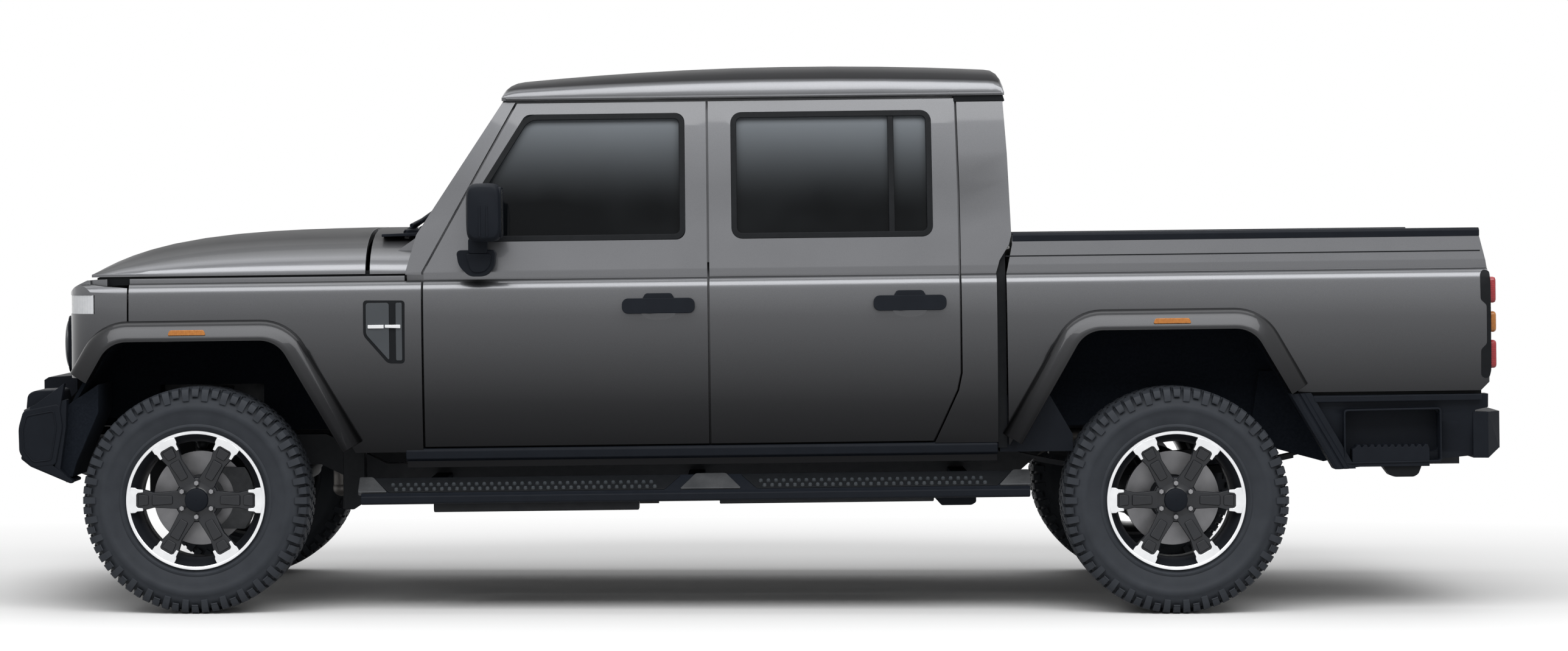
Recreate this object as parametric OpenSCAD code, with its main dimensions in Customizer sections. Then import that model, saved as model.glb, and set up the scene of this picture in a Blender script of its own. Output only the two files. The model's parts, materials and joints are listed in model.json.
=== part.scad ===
// Crew-cab off-road pickup, facing -X, left side at -Y, standing on Z = 0.
// The body and the chassis frame sit a little nose-down on the axles, so they
// are drawn level and tilted together by sprung().

/* [Overall] */
// Front bumper to front axle
front_overhang = 680; // [640:5:760]
// Distance between the axles
wheelbase = 3480; // [3300:5:4300]
// Rear axle to rear bumper
rear_overhang = 1170; // [1140:5:1500]
// Nose-down tilt of the body
rake = 0.7; // [0:0.1:1]
// Distance between the wheel centres across the vehicle
track = 1600; // [1540:5:1640]

/* [Wheels] */
// Outer radius of a tyre
tyre_r = 402; // [360:1:415]
// Width of a tyre
tyre_w = 265; // [215:5:275]
// Radius of the rim's outer flange
rim_r = 247; // [220:1:255]
// Distance from the steering axis to the wheel's middle
scrub = 80; // [60:1:90]

/* [Body] */
// Half of the widest part of the body side
body_half = 898; // [880:1:960]
// Height of the door bottoms
sill_z = 600; // [570:1:640]
// Height of the widest part
waist_z = 1030; // [980:1:1060]
// Height where the shoulder starts to turn in
shoulder_z = 1150; // [1130:1:1170]
// Height of the ridge along the belt line
belt_z = 1228; // [1215:1:1250]
// Height of the eaves, under the roof panel
eave_z = 1834; // [1760:1:1900]
// How far the upper body leans in between the belt and the eaves
tumblehome = 114; // [80:1:140]
// Gap between two panels
panel_gap = 8; // [6:0.5:10]
// Thickness of a door below the belt
door_t = 90; // [80:1:100]
// Thickness of a door's window frame
frame_t = 45; // [35:1:55]
// Thickness of glass
glass_t = 5; // [4:0.5:8]

/* [Load bed] */
// Height of the bed floor's top face
bed_floor_z = 850; // [820:1:900]
// Height of the bed rails
bed_rail_z = 1332; // [1300:1:1360]
// Half of the clear width between the bed's inner walls
bed_inner_half = 735; // [700:1:760]
// Half width of the tailgate
tailgate_half = 729; // [700:1:740]
// Thickness of the tailgate
tailgate_t = 55; // [40:1:70]

/* [Chassis] */
// Half distance between the outer faces of the frame rails
frame_half = 430; // [400:1:440]
// Width of a frame rail
rail_w = 70; // [60:1:80]
// Height of a frame rail
rail_h = 110; // [90:1:130]
// Radius of the hitch pin's hole in the receiver
hitch_pin_r = 8; // [6:0.5:10]
// Inside width of the hitch receiver
receiver_w = 51; // [50:1:64]

/* [Hidden] */
$fn = 48;

// Stations along the vehicle. The cab hangs on the front axle and the bed's tail on the rear one.
overall_length = front_overhang + wheelbase + rear_overhang;
front_axle_x = -overall_length / 2 + front_overhang;
rear_axle_x = front_axle_x + wheelbase;
nose_x = -overall_length / 2 + 8;
tail_x = overall_length / 2 + 8;
front_arch_x = front_axle_x + 5;
rear_arch_x = rear_axle_x - 16;
panel_split_x = front_axle_x - 231;
bonnet_rear_x = front_axle_x + 610;
pillar_base_x = front_axle_x + 754;
door_front_x = front_axle_x + 815;
b_post_x = front_axle_x + 1833;
c_post_x = front_axle_x + 2726;
cab_rear_x = front_axle_x + 2858;
cab_back_x = front_axle_x + 2905;
bed_front_x = cab_rear_x + 38;
bed_tail_x = tail_x - 53;
scuttle_z = belt_z + 130;
windscreen_top_x = front_axle_x + 1104;
door_slant_top_x = front_axle_x + 1151;

belt_y = body_half - 32;
eave_y = belt_y - tumblehome;
lining_y = body_half - door_t;
floor_z = sill_z - 40;
sheet_t = 25;
seal_gap = 8;
post_t = 50;
shoulder_turn = 36;
shoulder_rise = 46;
sill_tuck = 32;
brow_tuck = 7;
side_bow = 9;
far = 1400;
hinge_inset = 32;
hinge_pin_r = 4;
hinge_clear = 0.06;
hinge_span = 90;
hinge_pocket = 54;
front_hinge_z = [waist_z - 180, waist_z + 80];

// ---------------------------------------------------------------- placing
module sprung() { rotate([0, -rake, 0]) children(); }
module both_sides() { children(); mirror([0, 1, 0]) children(); }
module left_side() { mirror([0, 1, 0]) children(); }
// An outline in X and Z, drawn out across the vehicle from y0 to y1
module across(y0, y1) { translate([0, y1, 0]) rotate([90, 0, 0]) linear_extrude(y1 - y0) children(); }
// An outline in Y and Z, drawn out along the vehicle from x0 to x1
module along(x0, x1) { translate([x0, 0, 0]) rotate([90, 0, 90]) linear_extrude(x1 - x0) children(); }
// A box from one corner to the opposite one
module block(low, high) { translate(low) cube(high - low); }
// A rounded outline: its convex corners get this radius
module rounded(r) { offset(r = r, $fn = 32) offset(delta = -r) children(); }
// A round bar across the vehicle
module cross_bar(x, z, r, y0, y1) { translate([x, y1, z]) rotate([90, 0, 0]) cylinder(h = y1 - y0, r = r); }
// A round bar between two points
module bar(a, b, r) {
    d = b - a;
    translate(a) rotate([0, acos(d[2] / norm(d)), atan2(d[1], d[0])]) cylinder(h = norm(d), r = r);
}

// ---------------------------------------------------------------- body side section
function low_y(z) = z < waist_z
    ? body_half - sill_tuck * pow((waist_z - z) / (waist_z - sill_z + 10), 2)
    : body_half - brow_tuck * pow((z - waist_z) / (shoulder_z - waist_z), 2);
function low_points(z0, n) = [for (i = [0:n]) let (z = z0 + (shoulder_z - z0) * i / n) [low_y(z), z]];
shoulder_points = [for (a = [12:12:84])
    [body_half - brow_tuck - shoulder_turn * (1 - cos(a)), shoulder_z + shoulder_rise * sin(a)]];
belt_points = [[belt_y - 6, belt_z - 24], [belt_y + 1, belt_z - 6]];
function high_y(z) = let (t = (z - belt_z) / (eave_z - belt_z)) belt_y - tumblehome * t + side_bow * sin(180 * t);
function high_points(z1, n) = [for (i = [0:n]) let (z = belt_z + (z1 - belt_z) * i / n) [high_y(z), z]];
function outer_side(z0, z1) = concat(low_points(z0, 10), shoulder_points, belt_points, high_points(z1, 6));
function inner_line(d) = [[high_y(eave_z) - frame_t - d, eave_z], [belt_y - frame_t - d, belt_z + 20],
                          [lining_y - d, belt_z + 19], [lining_y - d, floor_z]];
module door_section() { polygon(concat(outer_side(sill_z, eave_z), inner_line(0))); }
module skin_section() { polygon(concat(outer_side(floor_z + 30, eave_z), inner_line(seal_gap + 5))); }
module post_section() {
    far_line = inner_line(seal_gap + post_t);
    polygon(concat(far_line, [for (i = [3:-1:0]) inner_line(seal_gap)[i]]));
}

// ---------------------------------------------------------------- side outlines, in X and Z
module cab_outline() {
    polygon([[pillar_base_x, floor_z], [pillar_base_x, belt_z - 3], [pillar_base_x + 39, scuttle_z],
             [windscreen_top_x, eave_z], [cab_back_x - 12, eave_z], [cab_back_x, eave_z - 210],
             [cab_back_x + 9, belt_z + 105], [cab_back_x, belt_z + 70], [cab_rear_x + 12, belt_z + 14],
             [cab_rear_x, belt_z - 30], [cab_rear_x, floor_z]]);
}
module front_door_outline() {
    polygon([[door_front_x, sill_z], [door_front_x, belt_z - 3], [door_slant_top_x, eave_z - 6],
             [b_post_x, eave_z - 6], [b_post_x, sill_z]]);
}
module rear_door_outline() {
    polygon([[b_post_x, sill_z], [b_post_x, eave_z - 6], [c_post_x - 2, eave_z - 6],
             [c_post_x + 3, belt_z + 250], [c_post_x + 3, waist_z - 185], [c_post_x - 10, waist_z - 246],
             [c_post_x - 57, waist_z - 348], [c_post_x - 96, sill_z]]);
}
module front_window_outline() {
    rounded(34) polygon([[door_front_x + 183, belt_z + 102], [door_front_x + 183, belt_z + 262],
                         [door_front_x + 368, eave_z - 50], [b_post_x - 80, eave_z - 50],
                         [b_post_x - 80, belt_z + 102]]);
}
module rear_window_outline() {
    rounded(40) translate([b_post_x + 84, belt_z + 102]) square([c_post_x - b_post_x - 174, eave_z - belt_z - 152]);
}
// The wheel opening: a trapezium with rounded upper corners, centred on x
arch_top_z = 990;
arch_half = 296;
arch_r = 105;
arch_slope = 30;
arch_foot_z = 380;
module arch_outline(x, grow = 0) {
    foot = arch_half + (arch_top_z - arch_foot_z) * tan(arch_slope);
    translate([x, 0]) offset(delta = grow) rounded(arch_r)
        polygon([[-foot, arch_foot_z], [-arch_half, arch_top_z], [arch_half, arch_top_z], [foot, arch_foot_z]]);
}

// ---------------------------------------------------------------- doors
hinge_y = body_half - 14;
module hinge_bores(x, zs) {
    for (z = zs) {
        translate([x, hinge_y, z - hinge_span / 2 - 1]) cylinder(h = hinge_span + 2, r = hinge_pin_r + hinge_clear);
        block([x - hinge_inset - 8, lining_y - 30, z - hinge_pocket / 2],
              [x + hinge_pin_r + 7, hinge_y + hinge_pin_r + 1, z + hinge_pocket / 2]);
    }
}
// Hinge pins on arms that stand out of a post
module hinge_arms(x, zs) {
    for (z = zs) {
        translate([x, hinge_y, z - hinge_span / 2]) cylinder(h = hinge_span, r = hinge_pin_r);
        block([x - hinge_pin_r, lining_y - seal_gap - 5, z - 15], [x + hinge_pin_r - 0.5, hinge_y, z + 15]);
    }
}
front_hinge_x = door_front_x + panel_gap / 2 + hinge_inset;
rear_hinge_x = b_post_x + panel_gap / 2 + hinge_inset;
handle_out = 30;
handle_z = 1104;
module door_handle(x) {
    block([x - 128, body_half - 12, handle_z - 12], [x + 128, body_half + handle_out, handle_z + 14]);
}
module door(hinge_x, handle_x) {
    door_handle(handle_x);
    difference() {
        intersection() {
            along(door_front_x - 50, c_post_x + 50) door_section();
            across(0, far) offset(delta = -panel_gap / 2) children(0);
        }
        across(0, far) children(1);
        hinge_bores(hinge_x, front_hinge_z);
    }
}
module front_door() { color("dimgray") door(front_hinge_x, b_post_x - 178) { front_door_outline(); front_window_outline(); } }
module rear_door() { color("dimgray") door(rear_hinge_x, c_post_x - 178) { rear_door_outline(); rear_window_outline(); } }
// Side glass: a pane that leans with the upper body, a little larger than the hole it closes
module pane(y_in) {
    intersection() {
        along(door_front_x, c_post_x) polygon([
            [high_y(belt_z + 60) - y_in, belt_z + 60], [high_y(eave_z - 30) - y_in, eave_z - 30],
            [high_y(eave_z - 30) - y_in - glass_t, eave_z - 30], [high_y(belt_z + 60) - y_in - glass_t, belt_z + 60]]);
        across(0, far) offset(delta = -0.3) children();
    }
}
module front_door_glass() { color("black", 0.5) pane(16) front_window_outline(); }
module rear_door_glass() { color("black", 0.5) pane(16) rear_window_outline(); }

// ---------------------------------------------------------------- mirrors
mirror_x = door_front_x + 232;
module mirror_arm() {
    color([0.08, 0.08, 0.09]) difference() {
        mirror_body();
        along(mirror_x - 200, mirror_x + 200) door_section();
    }
}
module mirror_body() {
    union() {
        across(belt_y - 8, belt_y + 90) rounded(22)
            polygon([[mirror_x - 106, belt_z + 74], [mirror_x + 34, belt_z + 74],
                     [mirror_x + 26, belt_z + 10], [mirror_x - 2, belt_z - 18],
                     [mirror_x - 60, belt_z - 18], [mirror_x - 98, belt_z + 20]]);
        block([mirror_x - 62, belt_y + 50, belt_z + 60], [mirror_x + 6, belt_y + 86, belt_z + 110]);
        translate([mirror_x, belt_y + 128, belt_z + 206]) rotate([0, 0, 4])
            intersection() {
                across(-86, 86) rounded(28) square([124, 206], center = true);
                along(-80, 80) rounded(24) square([172, 206], center = true);
            }
    }
}

// ---------------------------------------------------------------- cab
aperture_inset = 34;
module cab_side() {
    difference() {
        union() {
            // outside skin: windscreen pillar and rear quarter
            difference() {
                intersection() {
                    along(pillar_base_x - 5, cab_back_x + 20) skin_section();
                    across(0, far) difference() {
                        cab_outline();
                        offset(delta = panel_gap / 2) front_door_outline();
                        offset(delta = panel_gap / 2) rear_door_outline();
                        translate([0, floor_z - 10]) square([9000, sill_z - floor_z + 6], center = false);
                        translate([-9000, floor_z - 10]) square([9000, sill_z - floor_z + 6], center = false);
                        translate([door_front_x - 200, 0]) square([200, belt_z - 12]);
                    }
                }
            }
            // posts and rails that the doors close against
            intersection() {
                along(pillar_base_x, cab_back_x + 20) post_section();
                across(0, far) difference() {
                    cab_outline();
                    offset(delta = -aperture_inset) difference() {
                        front_door_outline();
                        translate([b_post_x - 40, 0]) square([80, 3000]);
                    }
                    offset(delta = -aperture_inset) difference() {
                        rear_door_outline();
                        translate([b_post_x - 40, 0]) square([80, 3000]);
                    }
                }
            }
            // sill under the doors
            block([pillar_base_x, sill_in, floor_z - 30], [cab_rear_x - 4, body_half - 45, sill_top_z]);
            hinge_arms(front_hinge_x, front_hinge_z);
            hinge_arms(rear_hinge_x, front_hinge_z);
        }
    }
}
rear_window_half = 560;
// Tunnel in the floor, over the gearbox
tunnel_half = 175;
tunnel_z = 735;
tunnel_end_x = front_axle_x + 1420;
sill_in = lining_y - 80;
sill_top_z = sill_z - 7;
post_in = lining_y - seal_gap - post_t;
// Floor and bulkhead, between the sills and the posts
module cab_floor() {
    color("dimgray") difference() {
        union() {
            block([pillar_base_x, -sill_in, floor_z - 20], [cab_rear_x - 60, sill_in, floor_z + 5]);
            block([pillar_base_x, -sill_in, floor_z - 20], [pillar_base_x + sheet_t, sill_in, sill_top_z]);
            block([pillar_base_x, -post_in, sill_top_z], [pillar_base_x + sheet_t, post_in, belt_z - 4]);
            block([pillar_base_x, -tunnel_half - 12, floor_z], [tunnel_end_x + 12, tunnel_half + 12, tunnel_z + 12]);
        }
        block([pillar_base_x - 10, -tunnel_half, floor_z - 40], [tunnel_end_x, tunnel_half, tunnel_z]);
    }
}
module cab_shell() {
    color("dimgray") {
        both_sides() cab_side();
        // rear wall, header over the windscreen and header over the rear window
        difference() {
            across(-eave_y + 60, eave_y - 60) difference() {
                intersection() {
                    cab_outline();
                    translate([cab_rear_x - 60, floor_z]) square([200, 2000]);
                }
                offset(delta = -30) cab_outline();
            }
            along(cab_rear_x - 100, cab_rear_x + 200) rounded(50)
                translate([-rear_window_half, belt_z + 130]) square([2 * rear_window_half, 380]);
        }
        block([cab_rear_x - 30, -lining_y, floor_z], [cab_rear_x - 4, lining_y, belt_z - 32]);
        along(windscreen_top_x + 18, windscreen_top_x + 90) translate([-eave_y + 62, eave_z - 45]) square([2 * eave_y - 124, 45]);
        along(cab_back_x - 90, cab_back_x - 30) translate([-eave_y + 62, eave_z - 45]) square([2 * eave_y - 124, 45]);
    }
}

// Windscreen and rear window, both flat and leaning
screen_run = windscreen_top_x - pillar_base_x - 39;
screen_rise = eave_z - scuttle_z;
module cab_glass() {
    color("black", 0.5) {
        intersection() {
            across(-far, far) polygon([
                [pillar_base_x + 58, scuttle_z + 14], [windscreen_top_x + 6, eave_z - 14],
                [windscreen_top_x + 6 + glass_t * 1.2, eave_z - 14], [pillar_base_x + 58 + glass_t * 1.2, scuttle_z + 14]]);
            along(pillar_base_x, windscreen_top_x + 100) polygon([
                [-belt_y + frame_t + 58 + 22, scuttle_z], [-eave_y + frame_t + 59 + 1, eave_z],
                [eave_y - frame_t - 59 - 1, eave_z], [belt_y - frame_t - 58 - 22, scuttle_z]]);
        }
        intersection() {
            translate([cab_back_x - 14, 0, belt_z + 130]) rotate([0, -1.6, 0])
                block([-glass_t, -far, -50], [0, far, 500]);
            along(cab_rear_x - 100, cab_rear_x + 200) offset(delta = -0.3) rounded(50)
                translate([-rear_window_half, belt_z + 130]) square([2 * rear_window_half, 380]);
        }
    }
}

// ---------------------------------------------------------------- roof: a crowned panel over the eaves
roof_edge_z = eave_z;
roof_half = eave_y + 12;
roof_front_x = windscreen_top_x - 6;
roof_rear_x = cab_back_x - 5;
roof_lip = 12;
// Height of the roof's shoulder above its lip, highest a little behind the middle
roof_rise = 93;
roof_fall = 140;
roof_high = 0.6;
// Crown of the roof between its shoulders
roof_crown = 27;
// Share of the length over which the front and rear ends curl down
roof_curl = 0.03;
function roof_end(u) = let (t = min(u / (roof_curl * 1.3), (1 - u) / roof_curl, 1)) pow(1 - pow(1 - t, 2.5), 0.5);
function roof_over(u, v) = roof_end(u) * ((roof_rise - roof_fall * pow(u - roof_high, 2)) * pow(1 - pow(abs(v), 18), 0.5)
    + roof_crown * (1 - v * v));
roof_us = [0, 0.003, 0.008, 0.016, 0.026, 0.038, 0.07, 0.12, 0.19, 0.27, 0.36, 0.46, 0.56, 0.66, 0.76, 0.85, 0.92,
           0.968, 0.978, 0.987, 0.994, 0.998, 1];
roof_vs = [for (i = [-14:14]) sin(i * 90 / 14)];
// A closed solid between a curved top and a flat underside
module shell_over(us, vs, top, under) {
    nu = len(us);
    nv = len(vs);
    points = concat([for (u = us) for (v = vs) top(u, v)], [for (u = us) for (v = vs) under(u, v)]);
    base = nu * nv;
    faces = concat(
        [for (i = [0:nu - 2]) for (j = [0:nv - 2]) each
            [[i * nv + j, i * nv + j + 1, (i + 1) * nv + j + 1], [i * nv + j, (i + 1) * nv + j + 1, (i + 1) * nv + j]]],
        [for (i = [0:nu - 2]) for (j = [0:nv - 2]) each
            [[base + i * nv + j, base + (i + 1) * nv + j + 1, base + i * nv + j + 1],
             [base + i * nv + j, base + (i + 1) * nv + j, base + (i + 1) * nv + j + 1]]],
        [for (i = [0:nu - 2]) each
            [[i * nv, (i + 1) * nv, base + (i + 1) * nv], [i * nv, base + (i + 1) * nv, base + i * nv],
             [i * nv + nv - 1, base + (i + 1) * nv + nv - 1, (i + 1) * nv + nv - 1],
             [i * nv + nv - 1, base + i * nv + nv - 1, base + (i + 1) * nv + nv - 1]]],
        [for (j = [0:nv - 2]) each
            [[j, base + j + 1, j + 1], [j, base + j, base + j + 1],
             [(nu - 1) * nv + j, (nu - 1) * nv + j + 1, base + (nu - 1) * nv + j + 1],
             [(nu - 1) * nv + j, base + (nu - 1) * nv + j + 1, base + (nu - 1) * nv + j]]]);
    polyhedron(points, faces, convexity = 4);
}
module roof() {
    color("dimgray") shell_over(roof_us, roof_vs,
        function(u, v) [roof_front_x + (roof_rear_x - roof_front_x) * u, roof_half * v, roof_edge_z + roof_lip + roof_over(u, v)],
        function(u, v) [roof_front_x + (roof_rear_x - roof_front_x) * u, roof_half * v,
                        roof_edge_z + max(0, roof_over(u, v) - 24)]);
}

// ---------------------------------------------------------------- bonnet and cowl
bonnet_front_x = front_axle_x - 372;
bonnet_edge_z = belt_z - 8;
bonnet_half = 806;
bonnet_rise = 158;
function bonnet_long(u) = pow(1 - pow(1 - u, 3.4), 0.62) * (0.93 + 0.07 * u);
function bonnet_wide(v) = pow(1 - pow(abs(v), 5), 0.62) * (1 - 0.1 * v * v);
bonnet_us = [0, 0.01, 0.03, 0.06, 0.1, 0.16, 0.24, 0.34, 0.46, 0.58, 0.7, 0.82, 0.92, 1];
bonnet_vs = [for (i = [-10:10]) sin(i * 9)];
function bonnet_top(u, v) = bonnet_edge_z + 10 + bonnet_rise * bonnet_long(u) * bonnet_wide(v);
bonnet_hinge_x = bonnet_rear_x + 4;
bonnet_hinge_z = bonnet_top(1, 0) - 14;
bonnet_hinge_y = 300;
knuckle_r = 6.5;
module bonnet() {
    color("dimgray") {
        shell_over(bonnet_us, bonnet_vs,
            function(u, v) [bonnet_front_x + (bonnet_rear_x - 4 - bonnet_front_x) * u, bonnet_half * v, bonnet_top(u, v)],
            function(u, v) [bonnet_front_x + (bonnet_rear_x - 4 - bonnet_front_x) * u, bonnet_half * v,
                            bonnet_edge_z + max(0, bonnet_top(u, v) - bonnet_edge_z - 28)]);
        // hinge barrels along the rear edge
        both_sides() difference() {
            union() {
                block([bonnet_hinge_x - 30, bonnet_hinge_y - 12, bonnet_hinge_z - knuckle_r],
                      [bonnet_hinge_x, bonnet_hinge_y + 12, bonnet_hinge_z + knuckle_r]);
                cross_bar(bonnet_hinge_x, bonnet_hinge_z, knuckle_r, bonnet_hinge_y - 12, bonnet_hinge_y + 12);
            }
            cross_bar(bonnet_hinge_x, bonnet_hinge_z, hinge_pin_r + hinge_clear, bonnet_hinge_y - 13, bonnet_hinge_y + 13);
        }
    }
}
// The fixed panel between the bonnet and the windscreen, with its hinge pins and wipers
cowl_front_x = bonnet_rear_x + 12;
cowl_t = 24;
ramp_half = high_y(scuttle_z) - frame_t - seal_gap - post_t - 4;
well_half = 640;
module cowl() {
    color("dimgray") {
        difference() {
            intersection() {
                along(cowl_front_x, pillar_base_x + 60) polygon(concat(
                    [for (v = bonnet_vs) [bonnet_half * v, bonnet_top(1, v) - 1]],
                    [[bonnet_half, bonnet_edge_z], [bonnet_half - cowl_t, bonnet_edge_z]],
                    [for (i = [len(bonnet_vs) - 2:-1:1]) let (v = bonnet_vs[i])
                        [(bonnet_half - cowl_t) * v, max(bonnet_edge_z, bonnet_top(1, v) - 1 - cowl_t)]],
                    [[-bonnet_half + cowl_t, bonnet_edge_z], [-bonnet_half, bonnet_edge_z]]));
                across(-far, far) polygon([
                    [cowl_front_x, bonnet_edge_z - 5], [pillar_base_x - 4, bonnet_edge_z - 5], [pillar_base_x - 4, bonnet_edge_z],
                    [pillar_base_x + 34, scuttle_z - 6], [pillar_base_x + 42, scuttle_z + 34], [cowl_front_x, scuttle_z + 34]]);
            }
            // well that the wipers stand in
            block([pillar_base_x - 22, -well_half, scuttle_z - 90], [pillar_base_x + 100, well_half, scuttle_z + 100]);
        }
        across(-ramp_half, ramp_half) polygon([
            [cowl_front_x, bonnet_edge_z + 10], [cowl_front_x, bonnet_edge_z + 26],
            [bonnet_rear_x + 60, bonnet_edge_z + 50], [pillar_base_x + 30, scuttle_z - 10],
            [pillar_base_x + 52, scuttle_z - 10], [pillar_base_x + 46, scuttle_z - 40], [pillar_base_x, belt_z - 3],
            [pillar_base_x, bonnet_edge_z - 20]]);
        both_sides() {
            block([bonnet_hinge_x, bonnet_hinge_y + 13, bonnet_hinge_z - knuckle_r],
                  [cowl_front_x + 12, bonnet_hinge_y + 25, bonnet_hinge_z + knuckle_r]);
            cross_bar(bonnet_hinge_x, bonnet_hinge_z, knuckle_r, bonnet_hinge_y + 13, bonnet_hinge_y + 25);
            cross_bar(bonnet_hinge_x, bonnet_hinge_z, hinge_pin_r, bonnet_hinge_y - 12, bonnet_hinge_y + 20);
        }
    }
    // two wipers lying along the foot of the windscreen
    for (y = [-560, 60]) {
        color([0.08, 0.08, 0.09]) {
            translate([pillar_base_x + 36, y, scuttle_z - 12]) rotate([0, 0, 0]) cylinder(h = 26, r = 14);
            bar([pillar_base_x + 36, y, scuttle_z + 8], [pillar_base_x + 42, y + 290, scuttle_z + 40], 7);
            bar([pillar_base_x + 32, y + 20, scuttle_z + 22], [pillar_base_x + 58, y + 540, scuttle_z + 62], 6);
        }
    }
}

// ---------------------------------------------------------------- wings, front panel, lamps
nose_round = 150;
panel_nose_x = front_axle_x - 470;
panel_foot_z = 862;
module plan_outline(inset) {
    offset(delta = -inset) offset(r = nose_round, $fn = 64) offset(delta = -nose_round)
        polygon([[panel_nose_x + 24, -body_half - 300], [panel_nose_x + 24, -body_half + 8], [panel_nose_x - 14, -400],
                 [panel_nose_x - 14, 400], [panel_nose_x + 24, body_half - 8], [panel_nose_x + 24, body_half + 300],
                 [2000, body_half + 300], [2000, -body_half - 300]]);
}
module nose_plan(inset) {
    offset(delta = -inset) offset(r = nose_round, $fn = 64) offset(delta = -nose_round)
        polygon([[panel_nose_x + 26, -body_half + 6], [panel_nose_x - 16, -330], [panel_nose_x - 16, 330],
                 [panel_nose_x + 26, body_half - 6], [panel_nose_x + 320, body_half + 14], [2500, body_half + 14],
                 [2500, -body_half - 14], [panel_nose_x + 320, -body_half - 14]]);
}
module wing_section() {
    polygon(concat(low_points(sill_z - 15, 10), shoulder_points,
                   [[belt_y - 6, belt_z - 24], [belt_y - 8, belt_z - 15], [bonnet_half - 26, belt_z - 15],
                    [bonnet_half - 26, belt_z - 15 - sheet_t], [body_half - sheet_t - 20, belt_z - 15 - sheet_t],
                    [body_half - sheet_t, shoulder_z - 30], [body_half - sheet_t - 8, waist_z], [low_y(sill_z) - sheet_t, sill_z - 15]]));
}
// A solid with the body side's outer surface, a little inside it
module body_core(x0, x1, inset) {
    along(x0, x1) polygon(concat([[0, sill_z - 60]], [for (p = low_points(sill_z - 60, 11)) [p[0] - inset, p[1]]], [[0, shoulder_z]]));
}
module front_wings() {
    // plates that bolt against the bulkhead
    color("dimgray") both_sides() intersection() {
        body_core(pillar_base_x - 12, pillar_base_x, 6);
        block([-9000, lining_y - 60, sill_z + 20], [9000, far, shoulder_z - 30]);
    }
    color("dimgray") both_sides() difference() {
        intersection() {
            along(panel_split_x + 3, door_front_x + 60) wing_section();
            across(0, far) difference() {
                polygon([[panel_split_x + 3, sill_z - 15], [panel_split_x + 3, belt_z], [door_front_x - panel_gap / 2, belt_z],
                         [door_front_x - panel_gap / 2, sill_z - 15]]);
                arch_outline(front_arch_x, skin_cut);
            }
        }
        // nothing of the wing lies behind the door's leading edge
        block([pillar_base_x - 4, 0, sill_z - 20], [door_front_x + 100, low_y(sill_z) - 5, belt_z + 10]);
    }
}
lamp_y = 600;
lamp_z = 980;
lamp_r = 84;
lamp_gap = 0.3;
opening_half = lamp_y + lamp_r + 24;
opening_half_h = lamp_r + 18;
module nose_profile(drop) {
    polygon([[panel_nose_x - 20, waist_z + 60 - drop], [panel_nose_x + 6 + drop * 0.4, waist_z + 128 - drop],
             [panel_nose_x + 40 + drop * 0.4, belt_z - 42 - drop], [panel_nose_x + 90, belt_z - 18 - drop],
             [panel_split_x, belt_z - 12 - drop], [panel_split_x, panel_foot_z], [panel_nose_x - 20, panel_foot_z]]);
}
module front_panel() {
    color("dimgray") difference() {
        // cover between the nose and the bonnet's leading edge
        intersection() {
            translate([0, 0, panel_foot_z]) linear_extrude(400) nose_plan(2);
            across(-belt_y + 30, belt_y - 30) difference() {
                nose_profile(0);
                nose_profile(sheet_t);
                translate([bonnet_front_x + 60, 0]) square([900, 3000]);
            }
        }
        nose_openings();
    }
    color("dimgray") difference() {
        intersection() {
            translate([0, 0, panel_foot_z]) linear_extrude(400) difference() {
                nose_plan(0);
                nose_plan(sheet_t);
                translate([panel_split_x - 3, -far]) square([9000, 2 * far]);
            }
            union() {
                both_sides() along(panel_nose_x - 60, panel_split_x + 10) polygon(concat(
                    [[0, panel_foot_z]], low_points(panel_foot_z, 8), shoulder_points, [[belt_y - 8, belt_z - 14], [0, belt_z - 14]]));
            }
            across(-far, far) nose_profile(0);
            difference() {
                translate([-4000, -far, 0]) cube([8000, 2 * far, 3000]);
                across(-far, far) arch_outline(front_arch_x, skin_cut);
            }
        }
        nose_openings();
    }
}
module grille_outline(inset) {
    rounded(40) translate([-opening_half + inset, lamp_z - opening_half_h + inset])
        square([2 * (opening_half - inset), 2 * (opening_half_h - inset)]);
}
// Openings for the grille and the wrap-round lamps
module nose_openings() {
    along(panel_nose_x - 60, panel_nose_x + 120) grille_outline(0);
    both_sides() block([panel_nose_x - 60, lamp_y + 30, belt_z - 137], [panel_split_x - 118, far, belt_z - 70]);
}
module grille() {
    color([0.05, 0.05, 0.06]) difference() {
        along(panel_nose_x - 6, panel_nose_x + 20) grille_outline(lamp_gap);
        for (z = [-2:2]) block([panel_nose_x - 20, -lamp_y + lamp_r + 30, lamp_z + z * 34 - 9],
                               [panel_nose_x + 60, lamp_y - lamp_r - 30, lamp_z + z * 34 + 9]);
        both_sides() translate([panel_nose_x - 20, lamp_y, lamp_z]) rotate([0, 90, 0]) cylinder(h = 60, r = lamp_r + lamp_gap);
    }
}
module headlamps() {
    color([0.85, 0.87, 0.9]) both_sides() {
        translate([panel_nose_x - 12, lamp_y, lamp_z]) rotate([0, 90, 0]) cylinder(h = 60, r = lamp_r);
        intersection() {
            across(-far, far) nose_profile(2);
            translate([0, 0, belt_z - 136.7]) linear_extrude(66.4) difference() {
                nose_plan(2);
                nose_plan(20);
                translate([panel_split_x - 122, -far]) square([9000, 2 * far]);
            }
            block([-4000, lamp_y + 34, 0], [4000, far, 3000]);
        }
    }
}

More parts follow.
